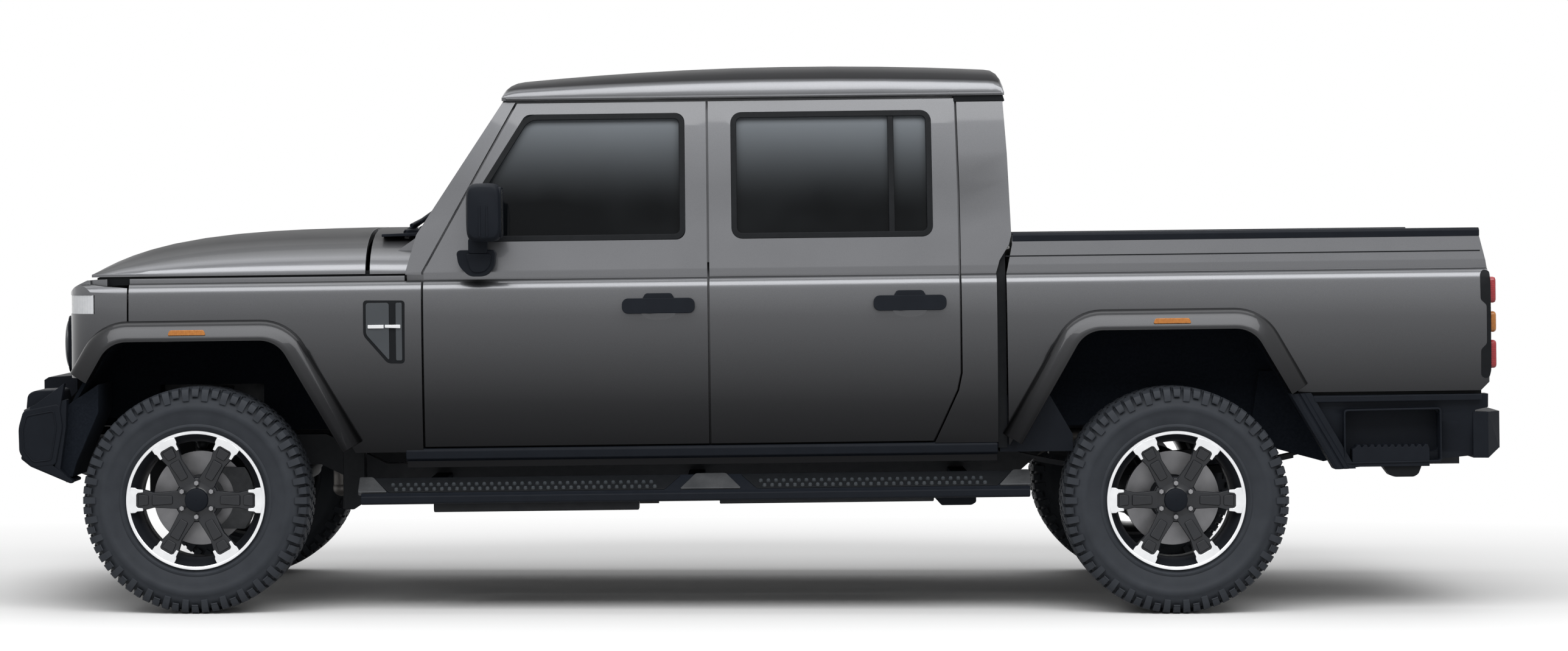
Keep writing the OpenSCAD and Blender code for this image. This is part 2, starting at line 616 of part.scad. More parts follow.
// ---------------------------------------------------------------- flares and liners
flare_w = 74;
skin_cut = 30;
lip_y = body_half - 50;
module flare(x, foot) {
    for (step = [[0, flare_w, 0, 26], [4, flare_w - 16, 25, 44], [8, flare_w - 34, 43, 50]])
        difference() {
            across(step[2] > 0 ? body_half + step[2] : lip_y, body_half + step[3]) difference() {
                arch_outline(x, step[1]);
                arch_outline(x, step[0]);
                translate([x - 900, 0]) square([1800, foot]);
            }
            difference() {
                body_core(x - 900, x + 900, -0.4);
                across(0, far) arch_outline(x, skin_cut - 0.3);
            }
        }
}
flare_front_foot = 860;
module wheel_arch_flares() {
    color([0.35, 0.35, 0.36]) both_sides() {
        difference() {
            flare(front_arch_x, sill_z - 12);
            block([front_arch_x - 900, 0, 0], [front_arch_x, far, flare_front_foot]);
        }
        flare(rear_arch_x, sill_z - 12);
    }
}
liner_t = 12;
liner_in = frame_half + 10;
liner_foot_z = sill_z + 100;
wheelhouse_y = bed_inner_half - 130;
module liner(x, y0, y1, foot) {
    across(y0, y1) difference() {
        arch_outline(x, 24);
        arch_outline(x, 24 - liner_t);
        translate([x - 1200, 0]) square([2400, foot]);
    }
}
// The wall on a wheel house's inner side
module liner_wall(x, y, foot) {
    across(y, y + liner_t) difference() {
        arch_outline(x, 24);
        translate([x - 1200, 0]) square([2400, foot]);
    }
}
module wheel_arch_liners() {
    color([0.06, 0.06, 0.07]) both_sides() {
        difference() {
            union() {
                liner(front_arch_x, liner_in, lip_y, sill_z + 20);
                liner_wall(front_arch_x, liner_in, sill_z + 50);
            }
            // ahead of the wheel the liner stops at the bumper
            block([front_arch_x - 900, 0, 0], [front_arch_x, far, liner_foot_z]);
            // the strut tower and the upper arm pass through
            block([front_x - 190, 0, 0], [front_x + 190, frame_half + 110, front_rail_top_z + 190]);
        }
        liner(rear_arch_x, wheelhouse_y + 14, lip_y, sill_z + 60);
        liner_wall(rear_arch_x, wheelhouse_y + 14.3, sill_z + 40);
    }
}

// ---------------------------------------------------------------- bumpers
bumper_half = body_half + 8;
module front_bumper() {
    color([0.09, 0.09, 0.1]) {
        difference() {
            intersection() {
                across(-bumper_half, bumper_half) polygon([
                    [nose_x, 700], [nose_x, 602], [nose_x + 18, 582], [nose_x + 106, 552], [nose_x + 237, 491],
                    [nose_x + 240, 500], [nose_x + 169, 556], [nose_x + 202, 781], [nose_x + 214, 846],
                    [nose_x + 110, 772], [nose_x + 60, 752], [nose_x + 14, 728]]);
                linear_extrude(1500) polygon([
                    [nose_x, -500], [nose_x, 500], [nose_x + 58, 840], [nose_x + 92, bumper_half], [nose_x + 400, bumper_half],
                    [nose_x + 400, -bumper_half], [nose_x + 92, -bumper_half], [nose_x + 58, -840]]);
            }
            // hollow behind the face, clear of the steered wheels
            linear_extrude(1500) polygon([
                [nose_x + 90, -480], [nose_x + 90, 480], [nose_x + 150, bumper_half - 40], [nose_x + 400, bumper_half - 40],
                [nose_x + 400, -bumper_half + 40], [nose_x + 150, -bumper_half + 40]]);
        }
        // raised bridge in the middle
        across(-430, 430) polygon([[nose_x + 58, 740], [nose_x + 58, 842], [nose_x + 74, 852], [nose_x + 180, 858],
                                   [nose_x + 180, 800], [nose_x + 120, 740]]);
        both_sides() tow_eye();
    }
}
// A recovery eye hanging below the bumper, on the frame's line
tow_r = 20;
tow_x = nose_x + 52;
tow_z = 541;
module tow_eye() {
    across(frame_half - 50, frame_half - 28) difference() {
        hull() {
            translate([tow_x, tow_z]) circle(r = tow_r + 14);
            translate([tow_x - 20, tow_z + 20]) square([44, 24]);
        }
        translate([tow_x, tow_z]) circle(r = tow_r);
    }
}
module rear_bumper() {
    color([0.09, 0.09, 0.1]) {
        difference() {
            linear_extrude(2000) polygon([
                [bed_tail_x - 58, -body_half + 20], [bed_tail_x - 58, body_half - 20], [tail_x - 60, body_half - 6],
                [tail_x - 10, body_half - 60], [tail_x, 420], [tail_x, -420], [tail_x - 10, -body_half + 60],
                [tail_x - 60, -body_half + 6]]);
            difference() {
                block([0, -far, -1], [9000, far, 2001]);
                across(-far, far) polygon([[bed_tail_x - 58, 520], [tail_x - 60, 520], [tail_x - 14, 552], [tail_x + 10, 560],
                                           [tail_x + 10, 684], [bed_tail_x - 58, 684]]);
            }
            // step recess in the middle and the clear back
            block([tail_x - 40, -380, 640], [tail_x + 100, 380, 700]);
            block([bed_tail_x - 60, -700, 500], [tail_x - 70, 700, 640]);
        }
        // black lower corners behind the rear wheels, each with a closed recess
        both_sides() difference() {
            intersection() {
                across(body_half - 84, far) difference() {
                    polygon([[rear_arch_x + 200, 748], [bed_tail_x - 4, 748], [bed_tail_x - 4, 700], [bed_tail_x - 50, 690],
                             [bed_tail_x - 50, 528], [rear_arch_x + 560, 480], [rear_arch_x + 300, 480]]);
                    arch_outline(rear_arch_x, flare_w - 40);
                }
                union() {
                    body_core(rear_arch_x, bed_tail_x, 2);
                    block([rear_arch_x, body_half - 84, 450], [bed_tail_x, low_y(sill_z - 60) - 2, sill_z]);
                }
            }
            across(body_half - 76, far) rounded(20)
                polygon([[bed_tail_x - 515, 516], [bed_tail_x - 515, 692], [bed_tail_x - 180, 692], [bed_tail_x - 180, 546]]);
        }
    }
}

// ---------------------------------------------------------------- load bed and tailgate
wheelhouse_top_z = arch_top_z + 40;
tailgate_x = bed_tail_x - 18;
tailgate_foot_z = bed_floor_z - 30;
tailgate_top_z = bed_rail_z - 14;
module bed_side_outline() {
    difference() {
        polygon([[bed_front_x, sill_z - 15], [bed_front_x - 3, belt_z - 40], [bed_front_x + 20, belt_z + 70],
                 [bed_front_x + 20, bed_rail_z], [bed_tail_x - 30, bed_rail_z], [bed_tail_x, belt_z - 30],
                 [bed_tail_x, 790], [bed_tail_x - 30, 760], [rear_arch_x + 100, 760], [rear_arch_x - 100, sill_z - 15]]);
        arch_outline(rear_arch_x, skin_cut);
    }
}
module bed_side_section() {
    polygon(concat(low_points(sill_z - 15, 10), shoulder_points, belt_points, high_points(bed_rail_z, 2),
                   [[bed_inner_half, bed_rail_z], [bed_inner_half, bed_rail_z - 45], [belt_y - 40, bed_rail_z - 45],
                    [body_half - 40, shoulder_z], [body_half - 36, waist_z], [low_y(sill_z - 15) - sheet_t, sill_z - 15]]));
}
module load_bed() {
    color("dimgray") {
        both_sides() {
            intersection() {
                along(bed_front_x - 10, bed_tail_x + 10) bed_side_section();
                across(0, far) bed_side_outline();
            }
            // inner wall, with the wheel house
            difference() {
                block([bed_front_x + 22, bed_inner_half, bed_floor_z - 40], [bed_tail_x - 90, bed_inner_half + 20, bed_rail_z - 20]);
                across(0, far) arch_outline(rear_arch_x, 24);
            }
            difference() {
                block([rear_arch_x - 430, wheelhouse_y, bed_floor_z - 40], [rear_arch_x + 430, bed_inner_half + 20, wheelhouse_top_z]);
                across(wheelhouse_y + 14, far) arch_outline(rear_arch_x, 24);
            }
            // rear corner post that carries the lamp
            block([bed_tail_x - 130, tailgate_half + 8, bed_floor_z - 60], [bed_tail_x - 2, body_half - 30, shoulder_z]);
            block([bed_tail_x - 130, tailgate_half + 8, shoulder_z - 1], [bed_tail_x - 34, belt_y - 30, bed_rail_z - 1]);
            cross_bar(tailgate_x - tailgate_t / 2, tailgate_foot_z + 26, 12, tailgate_half - 30, tailgate_half + 20);
        }
        // floor, with its headboard
        difference() {
            block([bed_front_x + 22, -bed_inner_half - 1, bed_floor_z - 28], [bed_tail_x - 92, bed_inner_half + 1, bed_floor_z]);
            both_sides() across(wheelhouse_y + 14, far) arch_outline(rear_arch_x, 24);
        }
        block([bed_front_x + 22, -bed_inner_half - 10, bed_floor_z - 40], [bed_front_x + 60, bed_inner_half + 10, bed_rail_z - 4]);
        // cross sills that rest on the frame
        for (x = [bed_front_x + 120, rear_arch_x - 480, rear_arch_x + 480, bed_tail_x - 160])
            block([x - 35, -frame_half - 60, rear_rail_z + rail_h], [x + 35, frame_half + 60, bed_floor_z - 27]);
        // tie-down eyes on the inner walls
        both_sides() for (x = [bed_front_x + 200, bed_tail_x - 260])
            translate([x, bed_inner_half - 14, bed_floor_z + 200]) difference() {
                cylinder(h = 12, r = tie_r + 12);
                translate([0, 0, -1]) cylinder(h = 14, r = tie_r);
            }
    }
}
tie_r = 12;
module tailgate() {
    color("dimgray") difference() {
        union() {
            intersection() {
                across(-tailgate_half, tailgate_half) polygon([
                    [tailgate_x - tailgate_t, tailgate_foot_z], [tailgate_x - tailgate_t, tailgate_top_z],
                    [tailgate_x - 12, tailgate_top_z], [tailgate_x + 14, belt_z - 30], [tailgate_x + 14, tailgate_foot_z + 40],
                    [tailgate_x, tailgate_foot_z]]);
            }
        }
        // recessed panel outside and the latch handle's pocket
        along(tailgate_x + 4, tailgate_x + 60) rounded(30)
            translate([-tailgate_half + 90, tailgate_foot_z + 70]) square([2 * tailgate_half - 180, 230]);
        cross_bar(tailgate_x - tailgate_t / 2, tailgate_foot_z + 26, 12 + hinge_clear, -far, far);
    }
}
module tail_lamps() {
    color([0.6, 0.05, 0.05]) both_sides() {
        block([bed_tail_x - 2 + 2.3, tailgate_half + 20, 800], [bed_tail_x + 30, body_half - 14, shoulder_z + 28]);
    }
}

// ---------------------------------------------------------------- side steps
step_front_x = front_axle_x + 592;
step_rear_x = cab_rear_x + 108;
module side_steps() {
    color([0.1, 0.1, 0.11]) both_sides() {
        along(step_front_x, step_rear_x) polygon([
            [body_half - 60, 494], [body_half + 18, 440], [body_half + 34, 432], [body_half + 34, 408], [body_half + 16, 402],
            [body_half - 70, 462]]);
        // arms from the frame rails
        for (x = [step_front_x + 260, (step_front_x + step_rear_x) / 2, step_rear_x - 240])
            block([x - 30, frame_half, 462], [x + 30, body_half - 50, 484]);
    }
}

// ---------------------------------------------------------------- chassis
front_rail_z = 410;
front_rail_top_z = front_rail_z + 110 + rail_h;
rear_rail_z = 620;
kick_x = cab_rear_x + 20;
receiver_z = 480;
receiver_out = receiver_w / 2 + 7;
rail_in = frame_half - rail_w;
module rail_outline() {
    polygon([[nose_x + 90, front_rail_z + 110], [nose_x + 90, front_rail_z + 110 + rail_h],
             [front_axle_x + 420, front_rail_z + 110 + rail_h], [front_axle_x + 640, front_rail_z + rail_h],
             [kick_x, front_rail_z + rail_h], [kick_x + 240, rear_rail_z + rail_h], [bed_tail_x - 58, rear_rail_z + rail_h],
             [bed_tail_x - 58, rear_rail_z], [kick_x + 260, rear_rail_z], [kick_x + 20, front_rail_z],
             [front_axle_x + 620, front_rail_z], [front_axle_x + 400, front_rail_z + 110]]);
}
module chassis_frame() {
    color([0.07, 0.07, 0.08]) {
        both_sides() across(rail_in, frame_half) rail_outline();
        // body mounts
        both_sides() for (x = [front_axle_x + 860, front_axle_x + 1750, front_axle_x + 2640])
            translate([x, frame_half - rail_w / 2, front_rail_z + 1]) cylinder(h = floor_z - 20 - front_rail_z - 1, r = 30);
    }
}
// Bars between the rails, and the hitch beam under their tails
module cross_members() {
    color([0.07, 0.07, 0.08]) {
        for (x = [nose_x + 150, front_axle_x - 330])
            block([x - 40, -rail_in, front_rail_z + 120], [x + 40, rail_in, front_rail_z + 190]);
        for (x = [front_axle_x + 900, front_axle_x + 1700, front_axle_x + 2500])
            cross_bar(x, front_rail_z + rail_h / 2, 38, -rail_in, rail_in);
        for (x = [rear_axle_x - 420, rear_axle_x + 420, bed_tail_x - 110])
            cross_bar(x, rear_rail_z + rail_h / 2, 38, -rail_in, rail_in);
        block([bed_tail_x - 240, -frame_half, 560], [bed_tail_x - 160, frame_half, rear_rail_z]);
        block([bed_tail_x - 240, -60, receiver_z + receiver_out], [bed_tail_x - 160, 60, 560]);
    }
}
// The tube that a ball mount slides into
module hitch_receiver() {
    color([0.07, 0.07, 0.08]) difference() {
        block([bed_tail_x - 250, -receiver_out, receiver_z - receiver_out], [tail_x - 12, receiver_out, receiver_z + receiver_out]);
        block([bed_tail_x - 260, -receiver_w / 2, receiver_z - receiver_w / 2],
              [tail_x + 20, receiver_w / 2, receiver_z + receiver_w / 2]);
        cross_bar(tail_x - 62, receiver_z, hitch_pin_r, -60, 60);
    }
}
module powertrain() {
    color([0.3, 0.3, 0.32]) {
        // engine, bell housing, gearbox and its rubber mount on the cross member
        block([front_axle_x - 190, -300, 640], [front_axle_x + 470, 300, 1130]);
        block([front_axle_x + 465, -160, 600], [front_axle_x + 760, 160, 730]);
        translate([front_axle_x + 700, 0, 622]) rotate([0, 90, 0]) cylinder(h = 620, r1 = 105, r2 = 90);
        block([front_axle_x + 870, -60, front_rail_z + rail_h / 2 + 38.3], [front_axle_x + 930, 60, 560]);
        both_sides() block([front_axle_x + 60, 295, 590], [front_axle_x + 140, frame_half - rail_w, 700]);
    }
}
module exhaust() {
    color([0.45, 0.44, 0.42]) {
        // down pipe, silencer, and the pipe up over the axle to the tail
        bar([front_axle_x + 400, 240, 390], [front_axle_x + 400, 240, 639.7], 28);
        translate([front_axle_x + 400, 240, 390]) sphere(31);
        bar([front_axle_x + 400, 240, 390], [front_axle_x + 1050, 240, 390], 28);
        translate([front_axle_x + 1000, 240, 390]) rotate([0, 90, 0]) cylinder(h = 620, r = 75);
        bar([front_axle_x + 1600, 240, 390], [kick_x - 40, 240, 390], 28);
        translate([kick_x - 40, 240, 390]) sphere(31);
        bar([kick_x - 40, 240, 390], [kick_x + 290, 240, 560], 28);
        translate([kick_x + 290, 240, 560]) sphere(31);
        bar([kick_x + 290, 240, 560], [rear_axle_x + 420, 240, 560], 28);
        translate([rear_axle_x + 420, 240, 560]) sphere(31);
        bar([rear_axle_x + 420, 240, 560], [bed_tail_x - 280, 240, 490], 28);
        // hanger to the frame rail
        block([front_axle_x + 1300, 280, 418], [front_axle_x + 1330, frame_half - rail_w, 430]);
    }
}
module fuel_tank() {
    color([0.06, 0.06, 0.07]) {
        across(-frame_half + rail_w + 14, 60) rounded(50)
            polygon([[front_axle_x + 1760, 400], [front_axle_x + 1760, 508], [front_axle_x + 2440, 508], [front_axle_x + 2440, 400]]);
        for (x = [front_axle_x + 1860, front_axle_x + 2320])
            block([x, -frame_half + rail_w, 480], [x + 40, -frame_half + rail_w + 30, 500]);
    }
}

// ---------------------------------------------------------------- suspension and steering
king_y = track / 2 - scrub;
hub_z = tyre_r;
arm_drop = 92;
arm_lift = 190;
upper_arm_r = 11;
// Where the two axles are, seen from the tilted body
front_x = front_axle_x * cos(rake) + hub_z * sin(rake);
front_z = hub_z * cos(rake) - front_axle_x * sin(rake);
rear_x = rear_axle_x * cos(rake) + hub_z * sin(rake);
rear_z = hub_z * cos(rake) - rear_axle_x * sin(rake);
ball_r = 20;
module front_suspension() {
    color([0.12, 0.12, 0.13]) both_sides() {
        // lower and upper wishbones, with their brackets on the frame
        for (side = [-1, 1]) {
            bar([front_x, king_y, (front_z - arm_drop)], [front_x + side * 210, frame_half - 50, (front_z - arm_drop) + 110], 18);
            bar([front_x, king_y, (front_z + arm_lift)], [front_x + side * 140, frame_half - 10, (front_z + arm_lift) + 68], upper_arm_r);
            block([front_x + side * 210 - 30, frame_half - 90, (front_z - arm_drop) + 80],
                  [front_x + side * 210 + 30, frame_half - 30, front_rail_top_z - rail_h]);
            block([front_x + side * 140 - 24, frame_half - 50, front_rail_top_z],
                  [front_x + side * 140 + 24, frame_half + 6, front_rail_top_z + 60]);
        }
        translate([front_x, king_y, (front_z - arm_drop)]) sphere(ball_r);
        translate([front_x, king_y, (front_z + arm_lift)]) sphere(ball_r);
        // spring strut up to its tower on the frame
        bar([front_x, king_y - 90, (front_z - arm_drop)], [front_x, frame_half + 40, front_rail_top_z + 170], 24);
        bar([front_x, king_y - 116, (front_z - arm_drop) + 120], [front_x, frame_half + 48, front_rail_top_z + 130], 50);
        bar([front_x - 60, king_y - 90, (front_z - arm_drop) + 24], [front_x + 60, king_y - 90, (front_z - arm_drop) + 24], 16);
        block([front_x - 70, frame_half - 60, front_rail_top_z], [front_x + 70, frame_half + 90, front_rail_top_z + 180]);
    }
    // cross member under the engine, which carries the rack
    color([0.12, 0.12, 0.13]) block([front_x - 120, -frame_half + 90, front_z + 10], [front_x + 100, frame_half - 90, front_z + 138]);
    color([0.12, 0.12, 0.13]) block([front_x - 40, -frame_half + 1, front_z + 70], [front_x + 40, frame_half - 1, front_rail_top_z - rail_h]);
}
rack_x = front_x + 290;
module steering_rack() {
    color([0.3, 0.3, 0.32]) {
        cross_bar(rack_x, front_z + 40, 30, -240, 240);
        cross_bar(rack_x, front_z + 40, 12, -450, 450);
        both_sides() block([front_x + 100, 130, front_z + 24], [rack_x - 10, 180, front_z + 56]);
    }
}
knuckle_face = track / 2 - 8;
hub_bore_r = 24.3;
module knuckle() {
    color([0.3, 0.3, 0.32]) {
        // upright, spindle, brake disc and caliper
        translate([front_axle_x, king_y, hub_z - arm_drop + ball_r + 2.5]) cylinder(h = 58, r = 8);
        translate([front_axle_x, king_y, hub_z - 50]) cylinder(h = arm_lift + 50 - ball_r - 0.5, r = 24);
        cross_bar(front_axle_x, hub_z, 24, king_y, knuckle_face + 60);
        cross_bar(front_axle_x, hub_z, 168, knuckle_face - 44, knuckle_face - 20);
        difference() {
            intersection() {
                cross_bar(front_axle_x, hub_z, 192, knuckle_face - 82, knuckle_face - 6);
                block([front_axle_x + 60, knuckle_face - 90, hub_z - 110], [front_axle_x + 200, knuckle_face, hub_z + 110]);
            }
            cross_bar(front_axle_x, hub_z, 120, knuckle_face - 83, knuckle_face - 5);
        }
        block([front_axle_x + 10, king_y - 12, hub_z - 30], [front_axle_x + 130, king_y + 12, hub_z + 30]);
        // the arm ends in the disc's carrier
        cross_bar(front_axle_x, hub_z, 62, king_y, knuckle_face - 30);
    }
}
module left_knuckle() { left_side() knuckle(); }
module right_knuckle() { knuckle(); }
leaf_y = frame_half + 60;
module rear_axle() {
    color([0.1, 0.1, 0.11]) {
        cross_bar(rear_axle_x, hub_z, 48, -knuckle_face + 70, knuckle_face - 70);
        translate([rear_axle_x, -60, hub_z]) scale([1, 1, 1]) sphere(150);
        bar([rear_axle_x - 240, -60, hub_z + 40], [rear_axle_x - 60, -60, hub_z], 40);
        both_sides() {
            cross_bar(rear_axle_x, hub_z, 24, knuckle_face - 90, knuckle_face + 60);
            cross_bar(rear_axle_x, hub_z, 158, knuckle_face - 44, knuckle_face - 20);
            cross_bar(rear_axle_x, hub_z, 60, knuckle_face - 76, knuckle_face - 40);
            block([rear_axle_x - 60, leaf_y - 34, hub_z + 30], [rear_axle_x + 60, leaf_y + 34, hub_z + 61.4]);
        }
    }
}
module rear_springs() {
    color([0.12, 0.12, 0.13]) both_sides() {
        // leaf pack, curved in one arc from hanger to shackle, and a damper
        across(leaf_y - 30, leaf_y + 30) for (i = [0:2]) intersection() {
            difference() {
                translate([rear_x, rear_z + 62 + i * 9 + 2200]) circle(r = 2200, $fn = 180);
                translate([rear_x, rear_z + 62 + i * 9 + 2200]) circle(r = 2190, $fn = 180);
            }
            translate([rear_x - 590 + (2 - i) * 120, 0]) square([1180 - (2 - i) * 240, 900]);
        }
        for (x = [-590, 590]) {
            block([rear_x + x - 20, leaf_y - 34, 530], [rear_x + x + 20, leaf_y + 34, rear_rail_z + 60]);
            block([rear_x + x - 20, frame_half + 0.3, rear_rail_z + 20], [rear_x + x + 20, leaf_y + 34, rear_rail_z + 60]);
        }
        bar([rear_x - 90, leaf_y - 4, rear_z + 40], [rear_x - 240, leaf_y - 24, rear_rail_z + 90], 22);
        block([rear_x - 262, frame_half + 0.3, rear_rail_z + 40], [rear_x - 218, leaf_y - 30, rear_rail_z + 104]);
    }
}

// ---------------------------------------------------------------- wheels
// A wheel is drawn on the left side with its outer face towards -Y, then placed
module tyre_section() {
    half = tyre_w / 2;
    polygon(concat(
        [[barrel_r + 0.3, -half + 37], [rim_r - 1, -half + 37], [rim_r + 2, -half + 30]],
        [for (i = [0:8]) let (a = -70 + i * 16) [rim_r + 74 + 74 * sin(a) , -half + 34 - 34 * cos(a)]],
        [[tyre_r - 16, -half + 8], [tyre_r - 1, -half + 32], [tyre_r, -half + 70], [tyre_r, half - 70], [tyre_r - 1, half - 32],
         [tyre_r - 16, half - 8]],
        [for (i = [8:-1:0]) let (a = -70 + i * 16) [rim_r + 74 + 74 * sin(a), half - 34 + 34 * cos(a)]],
        [[rim_r + 2, half - 30], [rim_r - 1, half - 37], [barrel_r + 0.3, half - 37]]));
}
module spin() { rotate([-90, 0, 0]) rotate_extrude($fn = 96) children(); }
module tyre() { color([0.05, 0.05, 0.055]) spin() tyre_section(); }
barrel_r = rim_r - 19;
spoke_count = 6;
spoke_out = 52;
module rim() {
    half = tyre_w / 2 - 22;
    color([0.1, 0.1, 0.11]) {
        // barrel with its two flanges
        spin() polygon([
            [rim_r - 2, -half - 2], [rim_r - 2, -half + 8], [barrel_r, -half + 12], [barrel_r, half - 12], [rim_r - 2, half - 8],
            [rim_r - 2, half + 2], [rim_r - 14, half + 2], [barrel_r - 14, half - 14], [barrel_r - 14, -half + 14],
            [rim_r - 14, -half - 2]]);
        // six spokes, each with a slot down its middle
        rotate([90, 0, 0]) translate([0, 0, spoke_out]) linear_extrude(34) for (i = [0:spoke_count - 1])
            rotate(i * 360 / spoke_count) difference() {
                polygon([[40, -44], [150, -28], [barrel_r - 6, -44], [barrel_r - 6, 44], [150, 28], [40, 44]]);
                polygon([[172, -10], [barrel_r - 30, -20], [barrel_r - 30, 20], [172, 10]]);
            }
        // hub with the wheel's bore
        rotate([90, 0, 0]) translate([0, 0, spoke_out - 14]) difference() {
            cylinder(h = 40, r = 88);
            translate([0, 0, -1]) cylinder(h = 31, r = hub_bore_r);
        }
        rotate([90, 0, 0]) difference() {
            cylinder(h = spoke_out - 13, r = 74);
            translate([0, 0, -1]) cylinder(h = spoke_out + 2, r = hub_bore_r);
        }
    }
}
module at_wheel(x, side) {
    translate([x, side * track / 2, hub_z]) mirror([0, side > 0 ? 1 : 0, 0]) children();
}
module front_left_tyre() { at_wheel(front_axle_x, -1) tyre(); }
module front_right_tyre() { at_wheel(front_axle_x, 1) tyre(); }
module rear_left_tyre() { at_wheel(rear_axle_x, -1) tyre(); }
module rear_right_tyre() { at_wheel(rear_axle_x, 1) tyre(); }
module front_left_rim() { at_wheel(front_axle_x, -1) rim(); }
module front_right_rim() { at_wheel(front_axle_x, 1) rim(); }
module rear_left_rim() { at_wheel(rear_axle_x, -1) rim(); }
module rear_right_rim() { at_wheel(rear_axle_x, 1) rim(); }

// ---------------------------------------------------------------- inside the cab
seat_top_z = 930;
module bucket_seat() {
    x = front_axle_x + 1260;
    across(-250, 250) {
        rounded(40) polygon([[x, seat_top_z - 130], [x, seat_top_z + 10], [x + 500, seat_top_z - 20], [x + 520, seat_top_z - 150]]);
        rounded(40) polygon([[x + 410, seat_top_z - 130], [x + 560, seat_top_z + 520], [x + 680, seat_top_z + 500], [x + 560, seat_top_z - 140]]);
    }
    across(-130, 130) rounded(30) polygon([[x + 560, seat_top_z + 560], [x + 590, seat_top_z + 720], [x + 680, seat_top_z + 710], [x + 670, seat_top_z + 545]]);
    for (y = [-70, 70]) bar([x + 620, y, seat_top_z + 480], [x + 632, y, seat_top_z + 600], 7);
    block([x + 40, -180, floor_z + 5], [x + 480, 200, seat_top_z - 120]);
}
module seats() {
    color([0.12, 0.12, 0.13]) {
        both_sides() translate([0, 380, 0]) bucket_seat();
        // rear bench
        x = front_axle_x + 2120;
        across(-640, 640) {
            rounded(40) polygon([[x, seat_top_z - 120], [x, seat_top_z + 20], [x + 480, seat_top_z], [x + 480, seat_top_z - 140]]);
            rounded(40) polygon([[x + 420, seat_top_z - 120], [x + 520, seat_top_z + 540], [x + 630, seat_top_z + 520], [x + 560, seat_top_z - 140]]);
        }
        for (y = [-400, 0, 400]) translate([0, y, 0]) across(-110, 110) rounded(26)
            polygon([[x + 520, seat_top_z + 520], [x + 545, seat_top_z + 690], [x + 620, seat_top_z + 680], [x + 620, seat_top_z + 500]]);
        block([x + 30, -600, floor_z + 5], [x + 460, 600, seat_top_z - 110]);
    }
}
dash_x = front_axle_x + 800;
column_x = front_axle_x + 1130;
column_z = 1180;
column_y = -380;
column_tilt = 65;
module dashboard() {
    color([0.09, 0.09, 0.1]) {
        across(-lining_y + 68, lining_y - 68) polygon([
            [dash_x - 10, belt_z - 90], [dash_x + 40, belt_z + 62], [dash_x + 180, belt_z + 72], [dash_x + 262, belt_z + 30],
            [dash_x + 232, belt_z - 180], [dash_x + 120, belt_z - 330], [dash_x + 20, belt_z - 330]]);
        // column stalk up to the steering wheel, and the centre console
        translate([column_x, column_y, column_z]) rotate([0, column_tilt, 0]) translate([0, 0, -190]) cylinder(h = 155.7, r = 34);
        block([dash_x + 100, -110, tunnel_z + 12.3], [tunnel_end_x - 20, 110, tunnel_z + 120]);
        block([dash_x + 60, -110, tunnel_z + 12.3], [dash_x + 220, 110, belt_z - 250]);
    }
}
wheel_ring_r = 185;
module steering_wheel() {
    color([0.06, 0.06, 0.07]) translate([column_x, column_y, column_z]) rotate([0, column_tilt, 0]) {
        rotate_extrude($fn = 64) translate([wheel_ring_r - 16, 0]) circle(r = 16, $fn = 24);
        difference() {
            translate([0, 0, -34]) cylinder(h = 50, r = 62);
        }
        for (a = [-90, 90, 180]) rotate([0, 0, a]) block([40, -22, -20], [wheel_ring_r - 20, 22, -4]);
    }
}

// ---------------------------------------------------------------- sides
module front_left_door() { left_side() front_door(); }
module front_right_door() { front_door(); }
module rear_left_door() { left_side() rear_door(); }
module rear_right_door() { rear_door(); }
module front_left_door_glass() { left_side() front_door_glass(); }
module front_right_door_glass() { front_door_glass(); }
module rear_left_door_glass() { left_side() rear_door_glass(); }
module rear_right_door_glass() { rear_door_glass(); }
module left_mirror() { left_side() mirror_arm(); }
module right_mirror() { mirror_arm(); }

sprung() chassis_frame();
sprung() cross_members();
sprung() hitch_receiver();
sprung() powertrain();
sprung() exhaust();
sprung() fuel_tank();
sprung() front_suspension();
rear_axle();
sprung() rear_springs();
sprung() cab_shell();
sprung() cab_floor();
sprung() roof();
sprung() cab_glass();
sprung() cowl();
sprung() front_wings();
sprung() front_panel();
sprung() grille();
sprung() headlamps();
sprung() wheel_arch_flares();
sprung() wheel_arch_liners();
sprung() front_bumper();
sprung() load_bed();
sprung() tail_lamps();
sprung() rear_bumper();
sprung() side_steps();
sprung() seats();
sprung() dashboard();
sprung() bonnet();
sprung() tailgate();
sprung() steering_wheel();
sprung() steering_rack();
sprung() front_left_door();
sprung() front_right_door();
sprung() rear_left_door();
sprung() rear_right_door();
sprung() front_left_door_glass();
sprung() front_right_door_glass();
sprung() rear_left_door_glass();
sprung() rear_right_door_glass();
sprung() left_mirror();
sprung() right_mirror();
left_knuckle();
right_knuckle();
front_left_tyre();
front_right_tyre();
rear_left_tyre();
rear_right_tyre();
front_left_rim();
front_right_rim();
rear_left_rim();
rear_right_rim();
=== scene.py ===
import json
import math

import bmesh
import bpy
from mathutils import Matrix, Vector


